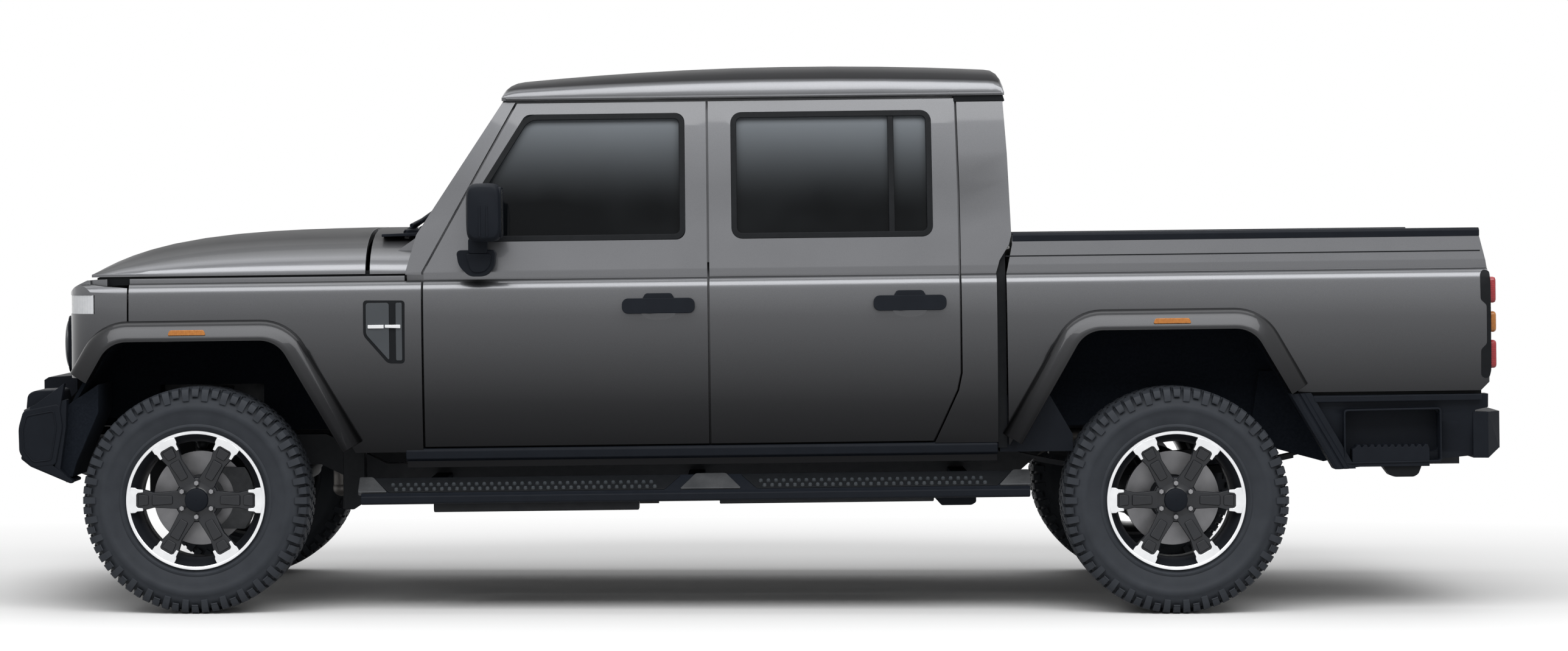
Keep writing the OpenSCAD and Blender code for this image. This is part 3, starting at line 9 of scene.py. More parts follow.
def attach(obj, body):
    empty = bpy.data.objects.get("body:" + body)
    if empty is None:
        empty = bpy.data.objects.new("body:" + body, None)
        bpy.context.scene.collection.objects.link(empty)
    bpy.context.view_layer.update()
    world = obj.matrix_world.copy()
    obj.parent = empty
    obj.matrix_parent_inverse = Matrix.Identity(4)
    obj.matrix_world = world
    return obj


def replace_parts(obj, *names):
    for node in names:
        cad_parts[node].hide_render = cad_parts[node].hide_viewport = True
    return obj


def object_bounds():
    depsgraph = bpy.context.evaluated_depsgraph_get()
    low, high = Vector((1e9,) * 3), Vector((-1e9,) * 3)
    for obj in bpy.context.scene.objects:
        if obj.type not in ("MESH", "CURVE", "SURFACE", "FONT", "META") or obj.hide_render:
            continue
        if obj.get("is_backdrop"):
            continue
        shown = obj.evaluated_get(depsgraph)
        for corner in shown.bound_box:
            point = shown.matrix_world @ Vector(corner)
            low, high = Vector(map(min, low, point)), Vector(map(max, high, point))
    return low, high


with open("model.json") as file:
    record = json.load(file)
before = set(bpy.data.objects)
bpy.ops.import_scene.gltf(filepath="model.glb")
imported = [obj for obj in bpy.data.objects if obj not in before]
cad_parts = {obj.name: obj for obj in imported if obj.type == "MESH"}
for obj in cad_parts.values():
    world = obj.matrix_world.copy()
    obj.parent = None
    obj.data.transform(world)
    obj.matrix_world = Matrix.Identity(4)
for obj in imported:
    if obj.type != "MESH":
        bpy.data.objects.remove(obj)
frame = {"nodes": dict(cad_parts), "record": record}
cad_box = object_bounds()

# ---------------------------------------------------------------- camera
# A long lens level with the belt line and square to the left side.
lens = bpy.data.cameras.new("side_view")
lens.sensor_width = 36
lens.lens = 90.7
lens.shift_x = 0.0184
lens.shift_y = -0.0643
camera = bpy.data.objects.new("side_view", lens)
camera.location = (0, -14.93, 1.38)
camera.rotation_euler = (math.radians(90), 0, 0)
bpy.context.scene.collection.objects.link(camera)
bpy.context.scene.camera = camera
bpy.context.scene.view_settings.view_transform = "Standard"

# ---------------------------------------------------------------- studio
# A matt white floor under an even white sky, with a broad softbox overhead, a long
# one high on the near side and a weaker one behind.


class Shade:
    """A socket in a material. Sums on it add Math nodes, and node() adds any other."""

    def __init__(self, tree, out=None):
        self.tree, self.out = tree, out

    def put(self, socket, value):
        if isinstance(value, Shade):
            self.tree.links.new(value.out, socket)
        else:
            socket.default_value = value

    def node(self, kind, settings=None, inputs=None, out=0):
        made = self.tree.nodes.new("ShaderNode" + kind)
        for key, value in (settings or {}).items():
            if key == "stops":
                for i, (at, tone) in enumerate(value):
                    stops = made.color_ramp.elements
                    stop = stops[i] if i < 2 else stops.new(at)
                    stop.position, stop.color = at, (tone, tone, tone, 1)
            else:
                setattr(made, key, value)
        for key, value in (inputs or {}).items():
            self.put(made.inputs[key], value)
        return Shade(self.tree, made.outputs[out])

    def math(self, operation, a, b=0.0):
        return self.node("Math", {"operation": operation}, {0: a, 1: b})

    def __add__(self, other):
        return self.math("ADD", self, other)

    def __mul__(self, other):
        return self.math("MULTIPLY", self, other)

    def __sub__(self, other):
        return self.math("SUBTRACT", self, other)

    def __rsub__(self, other):
        return self.math("SUBTRACT", other, self)

    __radd__, __rmul__ = __add__, __mul__

    def held(self):
        return self.node("Clamp", None, {0: self})

    def mixed(self, a, b):
        """Colour a where this is 0, and b where it is 1."""
        return self.node("Mix", {"data_type": "RGBA"}, {0: self, 6: (*a, 1), 7: (*b, 1)}, out=2)


def wiring(owner, output):
    owner.use_nodes = True
    owner.node_tree.nodes.clear()
    return Shade(owner.node_tree), owner.node_tree.nodes.new(output)


def seen(start):
    """1 for what the camera, metal and glass see of the background, and 0 for its light."""
    direct = start.node("LightPath", out="Is Camera Ray")
    mirrored = start.node("LightPath", out="Is Glossy Ray")
    through = start.node("LightPath", out="Is Transmission Ray")
    return (direct + mirrored + through).held()


sky = bpy.data.worlds.new("studio")
bpy.context.scene.world = sky
start, out = wiring(sky, "ShaderNodeOutputWorld")
light = start.node("Background", None, {"Color": (1, 1, 1, 1), "Strength": 0.42 + 0.58 * seen(start)})
start.put(out.inputs["Surface"], light)

bm = bmesh.new()
bmesh.ops.create_grid(bm, x_segments=1, y_segments=1, size=60)
floor = bpy.data.objects.new("floor", bpy.data.meshes.new("floor"))
bm.to_mesh(floor.data)
bm.free()
bpy.context.scene.collection.objects.link(floor)
floor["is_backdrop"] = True
floor_white = bpy.data.materials.new("floor_white")
start, out = wiring(floor_white, "ShaderNodeOutputMaterial")
spot = start.node("TexCoord", out="Object")
flat = start.node("VectorMath", {"operation": "MULTIPLY"}, {0: spot, 1: (0.5, 1, 0)})
reach = start.node("VectorMath", {"operation": "LENGTH"}, {0: flat}, out=1)
beyond = ((reach - 2.1) * 0.6).held() * seen(start)
lit = start.node("BsdfDiffuse", None, {"Color": seen(start).mixed((0.3, 0.3, 0.3), (0.93, 0.93, 0.93))})
bright = start.node("Emission", None, {"Color": (1, 1, 1, 1), "Strength": 1.0})
start.put(out.inputs["Surface"], start.node("MixShader", None, {0: beyond, 1: lit, 2: bright}))
floor.data.materials.append(floor_white)

for name, spot, turn, size, power in (
    ("overhead", (0, 0.5, 6.5), (0, 0, 0), (10, 4), 150),
    ("near_side", (0, -5.6, 6.4), (40, 0, 0), (13, 4.2), 600),
    ("far_side", (0, 6.5, 6.3), (-45, 0, 0), (13, 3.0), 120),
):
    lamp = bpy.data.lights.new(name, "AREA")
    lamp.shape = "RECTANGLE"
    lamp.size, lamp.size_y = size
    lamp.energy = power
    stand = bpy.data.objects.new(name, lamp)
    stand.location = spot
    stand.rotation_euler = [math.radians(angle) for angle in turn]
    bpy.context.scene.collection.objects.link(stand)

# ---------------------------------------------------------------- body panels
# Pressed steel doors, cab, wings, bonnet, roof and bed in mid-grey metallic paint under
# clear coat, with painted shade and painted highlights in its colour. Each is the frame's own
# panel, welded, with its edges folded over softly.
joints = {joint["name"]: joint for joint in frame["record"]["behaviour"]["joints"]}
upright = joints["front_right_door_hinge"]["axis"]
rake = math.atan2(-upright[0], upright[2])
# The body leans on its springs. New pieces are drawn in millimetres on a level body, and
# this turns them into the frame's leaning metres.
LEVEL = Matrix.Rotation(-rake, 4, "Y") @ Matrix.Scale(0.001, 4)


def finish_of(name, metallic=0.0, ior=1.5):
    """A new finish: its material, the start of its wiring, and its shader."""
    made = bpy.data.materials.new(name)
    start, out = wiring(made, "ShaderNodeOutputMaterial")
    settings = {"Metallic": metallic, "IOR": ior, "Coat Roughness": 0.03}
    shader = start.node("BsdfPrincipled", None, settings)
    start.put(out.inputs["Surface"], shader)
    return made, start, shader.out.node


def grain(start, scale, detail=2.0, squash=(1, 1, 1)):
    """A noise pattern from 0 to 1 over the object's own coordinates."""
    spot = start.node("TexCoord", out="Object")
    place = start.node("Mapping", None, {"Vector": spot, "Scale": squash})
    return start.node("TexNoise", None, {"Vector": place, "Scale": scale, "Detail": detail})


def coloured(start, shader, pattern, dark, light):
    """Colours a finish from dark, where a pattern is 0, to light, where it is 1."""
    start.put(shader.inputs["Base Color"], pattern.mixed(dark, light))


def bumped(start, shader, relief, strength, depth):
    """Raises and sinks a finish by a pattern."""
    settings = {"Strength": strength, "Distance": depth, "Height": relief}
    start.put(shader.inputs["Normal"], start.node("Bump", None, settings))


def ramp(start, value, low, high, at_low=0.0, at_high=1.0):
    """A value stretched so that low gives at_low and high gives at_high, and held between them."""
    ends = {"From Min": low, "From Max": high, "To Min": at_low, "To Max": at_high}
    return start.node("MapRange", None, {"Value": value, **ends})


def height(start, low, high):
    """0 at one height above the ground and 1 at another, in metres."""
    tall = start.node("SeparateXYZ", None, {0: start.node("TexCoord", out="Object")}, out=2)
    return ramp(start, tall, low, high)


# Painted light in the paint's colour, from the foot of the body (0) to its roof (1): painted shade
# darkens it to the sill, and painted highlights lighten it at the belt and at the roof's edge.
painted_light_by_height = [(0.053, 0.05), (0.165, 0.14), (0.27, 0.32), (0.37, 0.52), (0.43, 0.8), (0.48, 1.0), (0.58, 0.95),
         (0.68, 0.7), (0.88, 0.62), (0.92, 0.95)]
paints = {}
# The flares take a darker copy of the same paint: painted shade.
for name, depth in (("body_paint", 0.16), ("flare_paint", 0.074)):
    paints[name], start, shader = finish_of(name, metallic=0.88, ior=1.25)
    tone = start.node("ValToRGB", {"stops": painted_light_by_height}, {"Fac": height(start, 0.5, 2.0)})
    facing_up = start.node("SeparateXYZ", None, {0: start.node("TexCoord", out="Normal")}, out=2)
    # Painted shade on the tops: faces that look up, the roof most, are coloured darker, and made duller and
    # less metallic.
    painted_top_shade = ramp(start, facing_up + 0.42 * height(start, 1.84, 1.92), 0.74, 0.97)
    flakes = ramp(start, grain(start, 900, 1.0), 0.3, 0.7, 0.88, 1.12)
    shade = (tone * flakes * (1 - 0.88 * painted_top_shade)).held()
    full = (0.95 * depth, 0.97 * depth, 1.03 * depth)
    coloured(start, shader, shade, (0.002, 0.002, 0.0025), full)
    start.put(shader.inputs["Metallic"], 0.88 - 0.7 * painted_top_shade)
    start.put(shader.inputs["Roughness"], 0.25 + 0.08 * grain(start, 6, 3.0) + 0.3 * painted_top_shade)
    start.put(shader.inputs["Coat Weight"], (0.05 + 0.6 * height(start, 0.7, 1.2)) * (1 - painted_top_shade))
body_paint = paints["body_paint"]


def settle(bm, name, material, body, slot, shape=LEVEL, sharp=40, mirrored=False):
    """Puts a finished bmesh into the scene as a piece that rides on a body."""
    bm = bm.copy()
    if mirrored:
        bmesh.ops.scale(bm, vec=(1, -1, 1), verts=bm.verts)
        bmesh.ops.reverse_faces(bm, faces=bm.faces)
    bm.transform(shape)
    mesh = bpy.data.meshes.new(name)
    bm.to_mesh(mesh)
    bm.free()
    mesh.shade_smooth()
    mesh.set_sharp_from_angle(angle=math.radians(sharp))
    mesh.materials.append(material)
    piece = bpy.data.objects.new(name, mesh)
    bpy.context.scene.collection.objects.link(piece)
    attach(piece, body)
    return piece


def folded(piece, width=0.002, segments=2, angle=32):
    """Rounds a piece's edges with a bevel that keeps its flat faces flat."""
    bevel = piece.modifiers.new("edges", "BEVEL")
    bevel.width, bevel.segments, bevel.limit_method = width, segments, "ANGLE"
    bevel.angle_limit = math.radians(angle)
    bevel.harden_normals = True
    return piece


def welded(node):
    """A CAD node's mesh as one closed skin, its flat faces joined up."""
    bm = bmesh.new()
    bm.from_mesh(frame["nodes"][node].data)
    bmesh.ops.remove_doubles(bm, verts=bm.verts, dist=0.00002)
    bmesh.ops.dissolve_limit(bm, angle_limit=math.radians(0.3), verts=bm.verts, edges=bm.edges)
    return bm


def body_of(node):
    """The name of the moving body that holds a node."""
    return next(b for b, nodes in frame["record"]["behaviour"]["bodies"].items() if node in nodes)


def panel(node, material=body_paint, slot="body_paint", width=0.002, proud=None):
    """The frame's own panel with folded edges. What stands further out than proud is
    left to another piece."""
    bm = welded(node)
    if proud:
        bmesh.ops.delete(bm, geom=[v for v in bm.verts if abs(v.co.y) > proud], context="VERTS")
        bmesh.ops.holes_fill(bm, edges=[e for e in bm.edges if e.is_boundary], sides=0)
    piece = settle(bm, node + "_skin", material, body_of(node), slot, shape=Matrix())
    bm.free()
    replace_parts(piece, node)
    return folded(piece, width)


for node in ("cab_shell", "front_wings", "front_panel", "bonnet", "cowl", "load_bed", "tailgate", "roof"):
    panel(node)
doors = ("front_left_door", "front_right_door", "rear_left_door", "rear_right_door")
for node in doors:
    panel(node, proud=0.9005)

# ---------------------------------------------------------------- windows
# Dark tinted safety glass, the frame's own panes, set in thick black rubber. The glass is coloured
# lighter towards the top of the windows, a painted reflection. Each rubber is a rounded outline
# with its middle cut out, pressed into the hole and bent to the leaning side.
half_width, waist, shoulder, belt, eave = 898, 1030, 1150, 1228, 1834


def side_y(z):
    """How far out the body side stands at a height, in millimetres."""
    if z < waist:
        return half_width - 32 * ((waist - z) / 440) ** 2
    if z < shoulder:
        return half_width - 7 * ((z - waist) / 120) ** 2
    if z < shoulder + 45:
        return half_width - 7 - 36 * (1 - math.cos(math.asin((z - shoulder) / 46)))
    if z < belt:
        return half_width - 39 + 7 * (z - shoulder - 45) / (belt - shoulder - 45)
    up = (z - belt) / (eave - belt)
    return half_width - 32 - 114 * up + 9 * math.sin(math.pi * up)


def plate(outline, near, far, corner=0.0, steps=4, along="Y", rim=None):
    """A flat outline, rounded at its corners, drawn out along an axis from near to far. With a
    rim it is only a frame of that width. The outline holds the other two coordinates in order."""
    bm = bmesh.new()
    bm.faces.new([bm.verts.new((u, near, v)) for u, v in outline])
    if corner:
        bmesh.ops.bevel(bm, geom=bm.verts[:], offset=corner, segments=steps, affect="VERTICES",
                        profile=0.5, material=-1)
    if rim:
        inner = bm.faces[:]
        bmesh.ops.inset_region(bm, faces=inner, thickness=rim, use_boundary=True, use_even_offset=True)
        bmesh.ops.delete(bm, geom=inner, context="FACES")
    drawn = bmesh.ops.extrude_face_region(bm, geom=bm.faces[:])["geom"]
    moved = [v for v in drawn if isinstance(v, bmesh.types.BMVert)]
    bmesh.ops.translate(bm, vec=(0, far - near, 0), verts=moved)
    for v in bm.verts:
        u, depth, w = v.co
        v.co = {"X": (depth, u, w), "Y": (u, depth, w), "Z": (u, w, depth)}[along]
    bmesh.ops.recalc_face_normals(bm, faces=bm.faces[:])
    return bm


def sliced(bm, axis, step):
    """Cuts a piece across at even steps along an axis, so that it can be bent."""
    spots = [v.co[axis] for v in bm.verts]
    for k in range(1, math.ceil((max(spots) - min(spots)) / step)):
        cut, facing = Vector(), Vector()
        cut[axis], facing[axis] = min(spots) + k * step, 1
        whole = bm.verts[:] + bm.edges[:] + bm.faces[:]
        bmesh.ops.bisect_plane(bm, geom=whole, dist=0.01, plane_co=cut, plane_no=facing)
    return bm


def on_side(bm, step=60):
    """Bends a flat piece to the body side. Its y was its height above the skin."""
    for v in sliced(bm, 2, step).verts:
        v.co.y += side_y(v.co.z)
    return bm


def joined(*parts):
    """Several meshes made one."""
    whole = bmesh.new()
    for part in parts:
        mesh = bpy.data.meshes.new("part")
        part.to_mesh(mesh)
        part.free()
        whole.from_mesh(mesh)
        bpy.data.meshes.remove(mesh)
    return whole


def pair(bm, name, material, body, slot, width=0.0015, **how):
    """Settles a piece drawn on the right side there, and its mirror image on the left."""
    for side in ("left", "right"):
        rides = body.replace("SIDE", side)
        piece = settle(bm, name.replace("SIDE", side), material, rides, slot, mirrored=side == "left",
                       **how)
        if width:
            folded(piece, width)
    bm.free()


rubber, start, shader = finish_of("window_rubber", ior=1.22)
coloured(start, shader, grain(start, 30, 3.0), (0.004, 0.005, 0.006), (0.009, 0.010, 0.012))
start.put(shader.inputs["Roughness"], 0.42 + 0.2 * grain(start, 90))
bumped(start, shader, grain(start, 1400), 0.25, 0.0004)

tinted_glass, start, shader = finish_of("tinted_glass", ior=1.2)
# Painted reflection: the glass is coloured lighter from 1.42 m up to 1.8 m, with a little random haze.
painted_reflection_rise = height(start, 1.42, 1.8)
haze_and_painted_reflection = (painted_reflection_rise * painted_reflection_rise + 0.08 * grain(start, 3) - 0.04).held()
coloured(start, shader, haze_and_painted_reflection, (0.003, 0.0037, 0.0045), (0.25, 0.275, 0.30))
start.put(shader.inputs["Roughness"], 0.04 + 0.05 * grain(start, 5))
shader.inputs["Alpha"].default_value = 0.97

for node, piece in frame["nodes"].items():
    if node.endswith("glass"):
        piece.data.materials.clear()
        piece.data.materials.append(tinted_glass)

sill_line, head_line = belt + 102, eave - 50
front_hole = [(-987, sill_line), (-987, belt + 262), (-802, head_line), (-232, head_line),
              (-232, sill_line)]
rear_hole = [(-68, sill_line), (-68, head_line), (651, head_line), (651, sill_line)]
for end, hole in (("front", front_hole), ("rear", rear_hole)):
    seal = plate(hole, -15, 2, corner=38, steps=6, rim=21)
    if end == "rear":
        bar = [(494, sill_line + 8), (494, head_line - 8), (516, head_line - 8), (516, sill_line + 8)]
        seal = joined(seal, plate(bar, -15, -1))
    pair(on_side(seal), f"{end}_SIDE_window_seal", rubber, f"{end}_SIDE_door", "black_plastic", width=0.003)

# The windscreen has a flat rubber surround, laid on the leaning glass from its foot to its head.
foot, head = Vector((-1180, 0, 1362)), Vector((-879, 0, 1828))
up, tall = (head - foot).normalized(), (head - foot).length
screen = plate([(-746, 0), (-652, tall), (652, tall), (746, 0)], -3, 2, corner=30, rim=24)
lean = Matrix(((0, -up.z, up.x, foot.x), (1, 0, 0, 0), (0, up.x, up.z, foot.z), (0, 0, 0, 1)))
screen.transform(lean)
bmesh.ops.recalc_face_normals(screen, faces=screen.faces[:])
folded(settle(screen, "windscreen_seal", rubber, "vehicle", "black_plastic"))
screen.free()

# ---------------------------------------------------------------- door handles
# Moulded grips on two feet, with a thumb press above the middle and a shallow scoop in
# the door below. The plastic is a fine-grained blue-black.
plastic, start, shader = finish_of("grained_plastic", ior=1.22)
coloured(start, shader, grain(start, 14, 4.0), (0.0045, 0.006, 0.0095), (0.009, 0.0115, 0.0165))
start.put(shader.inputs["Roughness"], 0.5 + 0.15 * grain(start, 200))
bumped(start, shader, grain(start, 1100, 3.0), 0.35, 0.0006)

handle_z = 1097
for end, middle in (("front", -330), ("rear", 563)):
    low, high = handle_z - 27, handle_z + 27
    bar = [(middle - 129, low), (middle - 129, high), (middle + 129, high), (middle + 129, low)]
    low, high = handle_z - 22, handle_z + 22
    feet = []
    for side in (-1, 1):
        outer, inner = middle + side * 125, middle + side * 72
        feet.append(plate([(outer, low), (outer, high), (inner, high), (inner, low)], -4, 26, corner=8))
    press = plate([(middle - 60, handle_z + 20), (middle + 60, handle_z + 20), (middle + 46, handle_z + 44),
                   (middle - 46, handle_z + 44)], -4, 27, corner=7)
    grip = joined(plate(bar, 20, 39, corner=21), press, *feet)
    pair(on_side(grip), f"{end}_SIDE_door_handle", plastic, f"{end}_SIDE_door", "black_plastic",
         width=0.005)
    scoop = bmesh.new()
    upended = Matrix.Rotation(math.radians(90), 4, "X")
    bmesh.ops.create_circle(scoop, cap_ends=True, radius=62, segments=32, matrix=upended)
    bmesh.ops.inset_region(scoop, faces=scoop.faces[:], thickness=16, use_boundary=True)
    for v in scoop.verts:
        inner = v.co.length < 50
        v.co = (middle + v.co.x, 3.5 if inner else -0.4,
                handle_z - 22 + v.co.z * (0.5 if v.co.z < 0 else 0.2))
    bmesh.ops.recalc_face_normals(scoop, faces=scoop.faces[:])
    pair(on_side(scoop), f"{end}_SIDE_handle_scoop", body_paint, f"{end}_SIDE_door", "body_paint", width=0)

# ---------------------------------------------------------------- mirrors
# A rounded housing on a short arm and a moulded foot, with a silvered glass facing back in a
# bezel and two ribs on its outer end. The housing is skinned over a row of soft squares.


def soft_square(middle, across, up, corner=5, count=32):
    """The points of a rounded square round a middle, in length and height."""
    ring = []
    for i in range(count):
        turn = 2 * math.pi * (i + 0.5) / count
        x = math.copysign(abs(math.cos(turn)) ** (2 / corner), math.cos(turn))
        z = math.copysign(abs(math.sin(turn)) ** (2 / corner), math.sin(turn))
        ring.append((middle[0] + across * x, middle[1], middle[2] + up * z))
    return ring


def lofted(rings):
    """A closed skin over a row of outlines that all have the same number of points."""
    bm = bmesh.new()
    loops = []
    for ring in rings:
        verts = [bm.verts.new(spot) for spot in ring]
        loops.append([bm.edges.new((verts[i - 1], verts[i])) for i in range(len(verts))])
        if ring is rings[0] or ring is rings[-1]:
            bm.faces.new(verts)
    for one, two in zip(loops, loops[1:]):
        bmesh.ops.bridge_loops(bm, edges=one + two)
    bmesh.ops.recalc_face_normals(bm, faces=bm.faces[:])
    return bm


chrome, start, shader = finish_of("bright_metal", metallic=1.0)
coloured(start, shader, grain(start, 8), (0.74, 0.75, 0.77), (0.86, 0.87, 0.88))
start.put(shader.inputs["Roughness"], 0.12 + 0.12 * grain(start, 60, 3.0))

mirror = Vector((-938, 994, belt + 206))
cap_rings = [(-84, 0.6), (-80, 0.84), (-70, 0.95), (-30, 1), (40, 1), (66, 0.96), (80, 0.87), (85, 0.7)]
rings = [soft_square(mirror + Vector((0, out, 0)), 62 * share, 103 * share) for out, share in cap_rings]
cap = lofted(rings)
foot_outline = [(-1044, 1302), (-904, 1302), (-910, 1240), (-940, 1208), (-998, 1208), (-1036, 1248)]
foot = plate(foot_outline, 852, 944, corner=16)
pad = plate([(-1012, 1290), (-918, 1290), (-922, 1246), (-946, 1222), (-990, 1222)], 943, 950, corner=14)
arm = plate([(-1000, 1290), (-1000, 1345), (-932, 1345), (-932, 1290)], 905, 952, corner=10)
bezel = plate([(926, 1346), (926, 1524), (1058, 1524), (1058, 1346)], -892, -875, corner=28, along="X",
              rim=9)
pair(joined(cap, foot, pad, arm, bezel), "SIDE_mirror_housing", plastic, "front_SIDE_door", "black_plastic",
     width=0.004)
for side in ("left", "right"):
    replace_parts(bpy.data.objects[f"{side}_mirror_housing"], f"{side}_mirror")
ribs = []
for x in (-950, -924):
    rib = [(x - 3, 1350), (x - 3, 1458), (x + 3, 1458), (x + 3, 1350)]
    ribs.append(plate(rib, mirror.y + 83, mirror.y + 88, corner=2.5))
pair(joined(*ribs), "SIDE_mirror_ribs", plastic, "front_SIDE_door", "black_plastic", width=0.001)
silvered = plate([(932, 1352), (932, 1518), (1052, 1518), (1052, 1352)], -886, -875.8, corner=24, along="X")
pair(silvered, "SIDE_mirror_glass", chrome, "front_SIDE_door", "glass", width=0.001)

# ---------------------------------------------------------------- wing vents
# A black surround with a satin panel in it, a dark slot and a bright bar across, behind
# each front wheel.
satin, start, shader = finish_of("satin_trim")
coloured(start, shader, grain(start, 10, 3.0), (0.030, 0.036, 0.042), (0.048, 0.055, 0.063))
start.put(shader.inputs["Roughness"], 0.3 + 0.1 * grain(start, 150))
bumped(start, shader, grain(start, 700), 0.15, 0.0005)

vent = [(-1380, 1003), (-1380, 1128), (-1232, 1126), (-1234, 902), (-1294, 903)]
pair(on_side(plate(vent, -3, 3, corner=12)), "SIDE_vent_surround", rubber, "vehicle", "black_plastic")
panes = [plate([(-1370, 1007), (-1370, 1118), (-1288, 1118), (-1288, 913)], 0, 5, corner=9),
         plate([(-1264, 913), (-1264, 1118), (-1242, 1118), (-1242, 913)], 0, 5, corner=5)]
pair(on_side(joined(*panes)), "SIDE_vent_panes", satin, "vehicle", "black_plastic")
bright_bar = joined(plate([(-1363, 1028), (-1363, 1040), (-1306, 1040), (-1306, 1028)], 3, 11, corner=2),
                    plate([(-1302, 1030), (-1302, 1040), (-1247, 1040), (-1247, 1028)], 3, 12, corner=2))
pair(on_side(bright_bar), "SIDE_vent_bar", chrome, "vehicle", "steel", width=0.001)

# ---------------------------------------------------------------- wheel-arch flares
# Pressed flares in a darker copy of the body paint, a painted shade, rolled round each wheel opening
# with an amber marker lamp on the crown. A flare is one section, skinned along the opening's
# rounded trapezium.
arch_top, arch_half, arch_round, arch_slope = 990, 296, 105, math.radians(30)
lip = half_width + 50
# The section from the skin (0) to the lip (1), with how far outside the opening each spot stands.
flare_section = [(74, 0.0), (72, 0.22), (66, 0.42), (54, 0.62), (38, 0.78), (22, 0.9), (12, 0.985),
                 (6, 1.0), (1, 0.97), (0, 0.9)]


def arch_line(middle, front_foot, rear_foot):
    """Spots along the wheel opening's edge, from the front foot round to the rear, each with
    the way out of the opening."""
    spots = []
    corner = arch_half - arch_round * math.tan((math.pi / 2 - arch_slope) / 2)
    for side, foot in ((-1, front_foot), (1, rear_foot)):
        arc = []
        for k in range(9):
            turn = math.radians(90 + 60 * k / 8)
            spot = Vector((-corner + arch_round * math.cos(turn),
                           arch_top - arch_round + arch_round * math.sin(turn)))
            arc.append((spot, Vector((math.cos(turn), math.sin(turn)))))
        start_at, out = arc[-1]
        run = Vector((-math.sin(arch_slope), -math.cos(arch_slope)))
        length = (start_at.y - foot) / math.cos(arch_slope)
        leg = [(start_at + run * length * k / 8, out) for k in range(1, 9)]
        half = [(Vector((side * -p.x, p.y)), Vector((side * -n.x, n.y))) for p, n in arc + leg]
        spots = half[::-1] if side < 0 else spots + half
    return [(Vector((middle + p.x, p.y)), n) for p, n in spots]


def flare(middle, front_foot, rear_foot):
    """One flare, skinned along its wheel opening, with its own back inside the panel."""
    rings = []
    for spot, out in arch_line(middle, front_foot, rear_foot):
        ring = []
        for reach, proud in flare_section:
            place = spot + out * reach
            ring.append((place.x, side_y(place.y) * (1 - proud) + lip * proud, place.y))
        for reach, sunk in ((0, 40), (8, 42), (30, 34), (66, 40)):
            place = spot + out * reach
            ring.append((place.x, min(half_width - sunk, side_y(place.y) - 6), place.y))
        rings.append(ring)
    return lofted(rings)


front_arch, rear_arch = -1980, 1479
for end, rolled in (("front", flare(front_arch, 846, 590)), ("rear", flare(rear_arch, 590, 756))):
    pair(rolled, f"{end}_SIDE_flare", paints["flare_paint"], "vehicle", "body_paint", sharp=60)
for side in ("left", "right"):
    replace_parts(bpy.data.objects[f"front_{side}_flare"], "wheel_arch_flares")

# The rear flare runs on below the paint as a black ribbed foot.
foot_rings = []
for step in range(7):
    z = 758 - 45 * step
    x = rear_arch + arch_half + (arch_top - z) * math.tan(arch_slope)
    ribbed = [(-4, 850), (-4, 930), (10, 934), (24, 926), (28, 918), (34, 922), (48, 914), (52, 906),
              (76, 900), (80, 850)]
    foot_rings.append([(x + back, out, z) for back, out in ribbed])
pair(lofted(foot_rings), "rear_SIDE_flare_foot", plastic, "vehicle", "black_plastic", width=0.002)



def fluted(start, across, closeness):
    """Even flutes across a lens, as a wave over the object's own coordinates."""
    spot = start.node("TexCoord", out="Object")
    return start.node("TexWave", {"bands_direction": across}, {"Vector": spot, "Scale": closeness})


amber, start, shader = finish_of("amber_lens")
coloured(start, shader, grain(start, 120), (0.42, 0.13, 0.015), (0.62, 0.24, 0.04))
start.put(shader.inputs["Roughness"], 0.12 + 0.1 * grain(start, 40))
bumped(start, shader, fluted(start, "X", 40.0), 0.5, 0.001)
for end, middle in (("front", -2001), ("rear", 1490)):
    low, high = arch_top + 22, arch_top + 41
    outline = [(middle - 68, low), (middle - 60, high), (middle + 60, high), (middle + 68, low)]
    marker = plate(outline, half_width + 20, half_width + 49, corner=6)
    pair(marker, f"{end}_SIDE_marker_lamp", amber, "vehicle", "lamp_red", width=0.003)

# ---------------------------------------------------------------- sills and seals
# A black moulding covers the sill below the doors. Foam rubber closes the gap between cab and
# bed and the slot under the bonnet's edge, a thin black rubber strip paints the shade of the
# crease along the bed, and a plastic panel shuts the bed's front end behind the arch.
sill = plate([(815, 548), (848, 549), (866, 560), (869, 588), (862, 598), (815, 598)],
             -1236, 872, along="X")
pair(sill, "SIDE_sill_moulding", plastic, "vehicle", "black_plastic", width=0.004)
gap_seal = plate([(500, 575), (500, 1290), (836, 1290), (858, 1180), (866, 1030), (852, 575)],
                 874, 906, along="X")
pair(gap_seal, "SIDE_cab_seal", rubber, "vehicle", "black_plastic", width=0)
bonnet_seal = plate([(-2338, 1190), (-2338, 1218), (-2290, 1230), (-1240, 1232), (-1240, 1190)], 690, 800)
pair(bonnet_seal, "SIDE_bonnet_seal", rubber, "vehicle", "black_plastic", width=0)
# Painted shade: a thin black strip standing in for the dark line of the bed's crease.
crease = on_side(plate([(908, 1255), (908, 1259), (2596, 1259), (2596, 1255)], -3, 1.8))
pair(crease, "SIDE_bed_crease", rubber, "vehicle", "black_plastic", width=0)
closing_panel = plate([(880, 560), (880, 760), (1060, 760), (1140, 620), (1140, 560)], 700, 846)
pair(closing_panel, "SIDE_bed_front_closing_panel", plastic, "vehicle", "black_plastic", width=0)
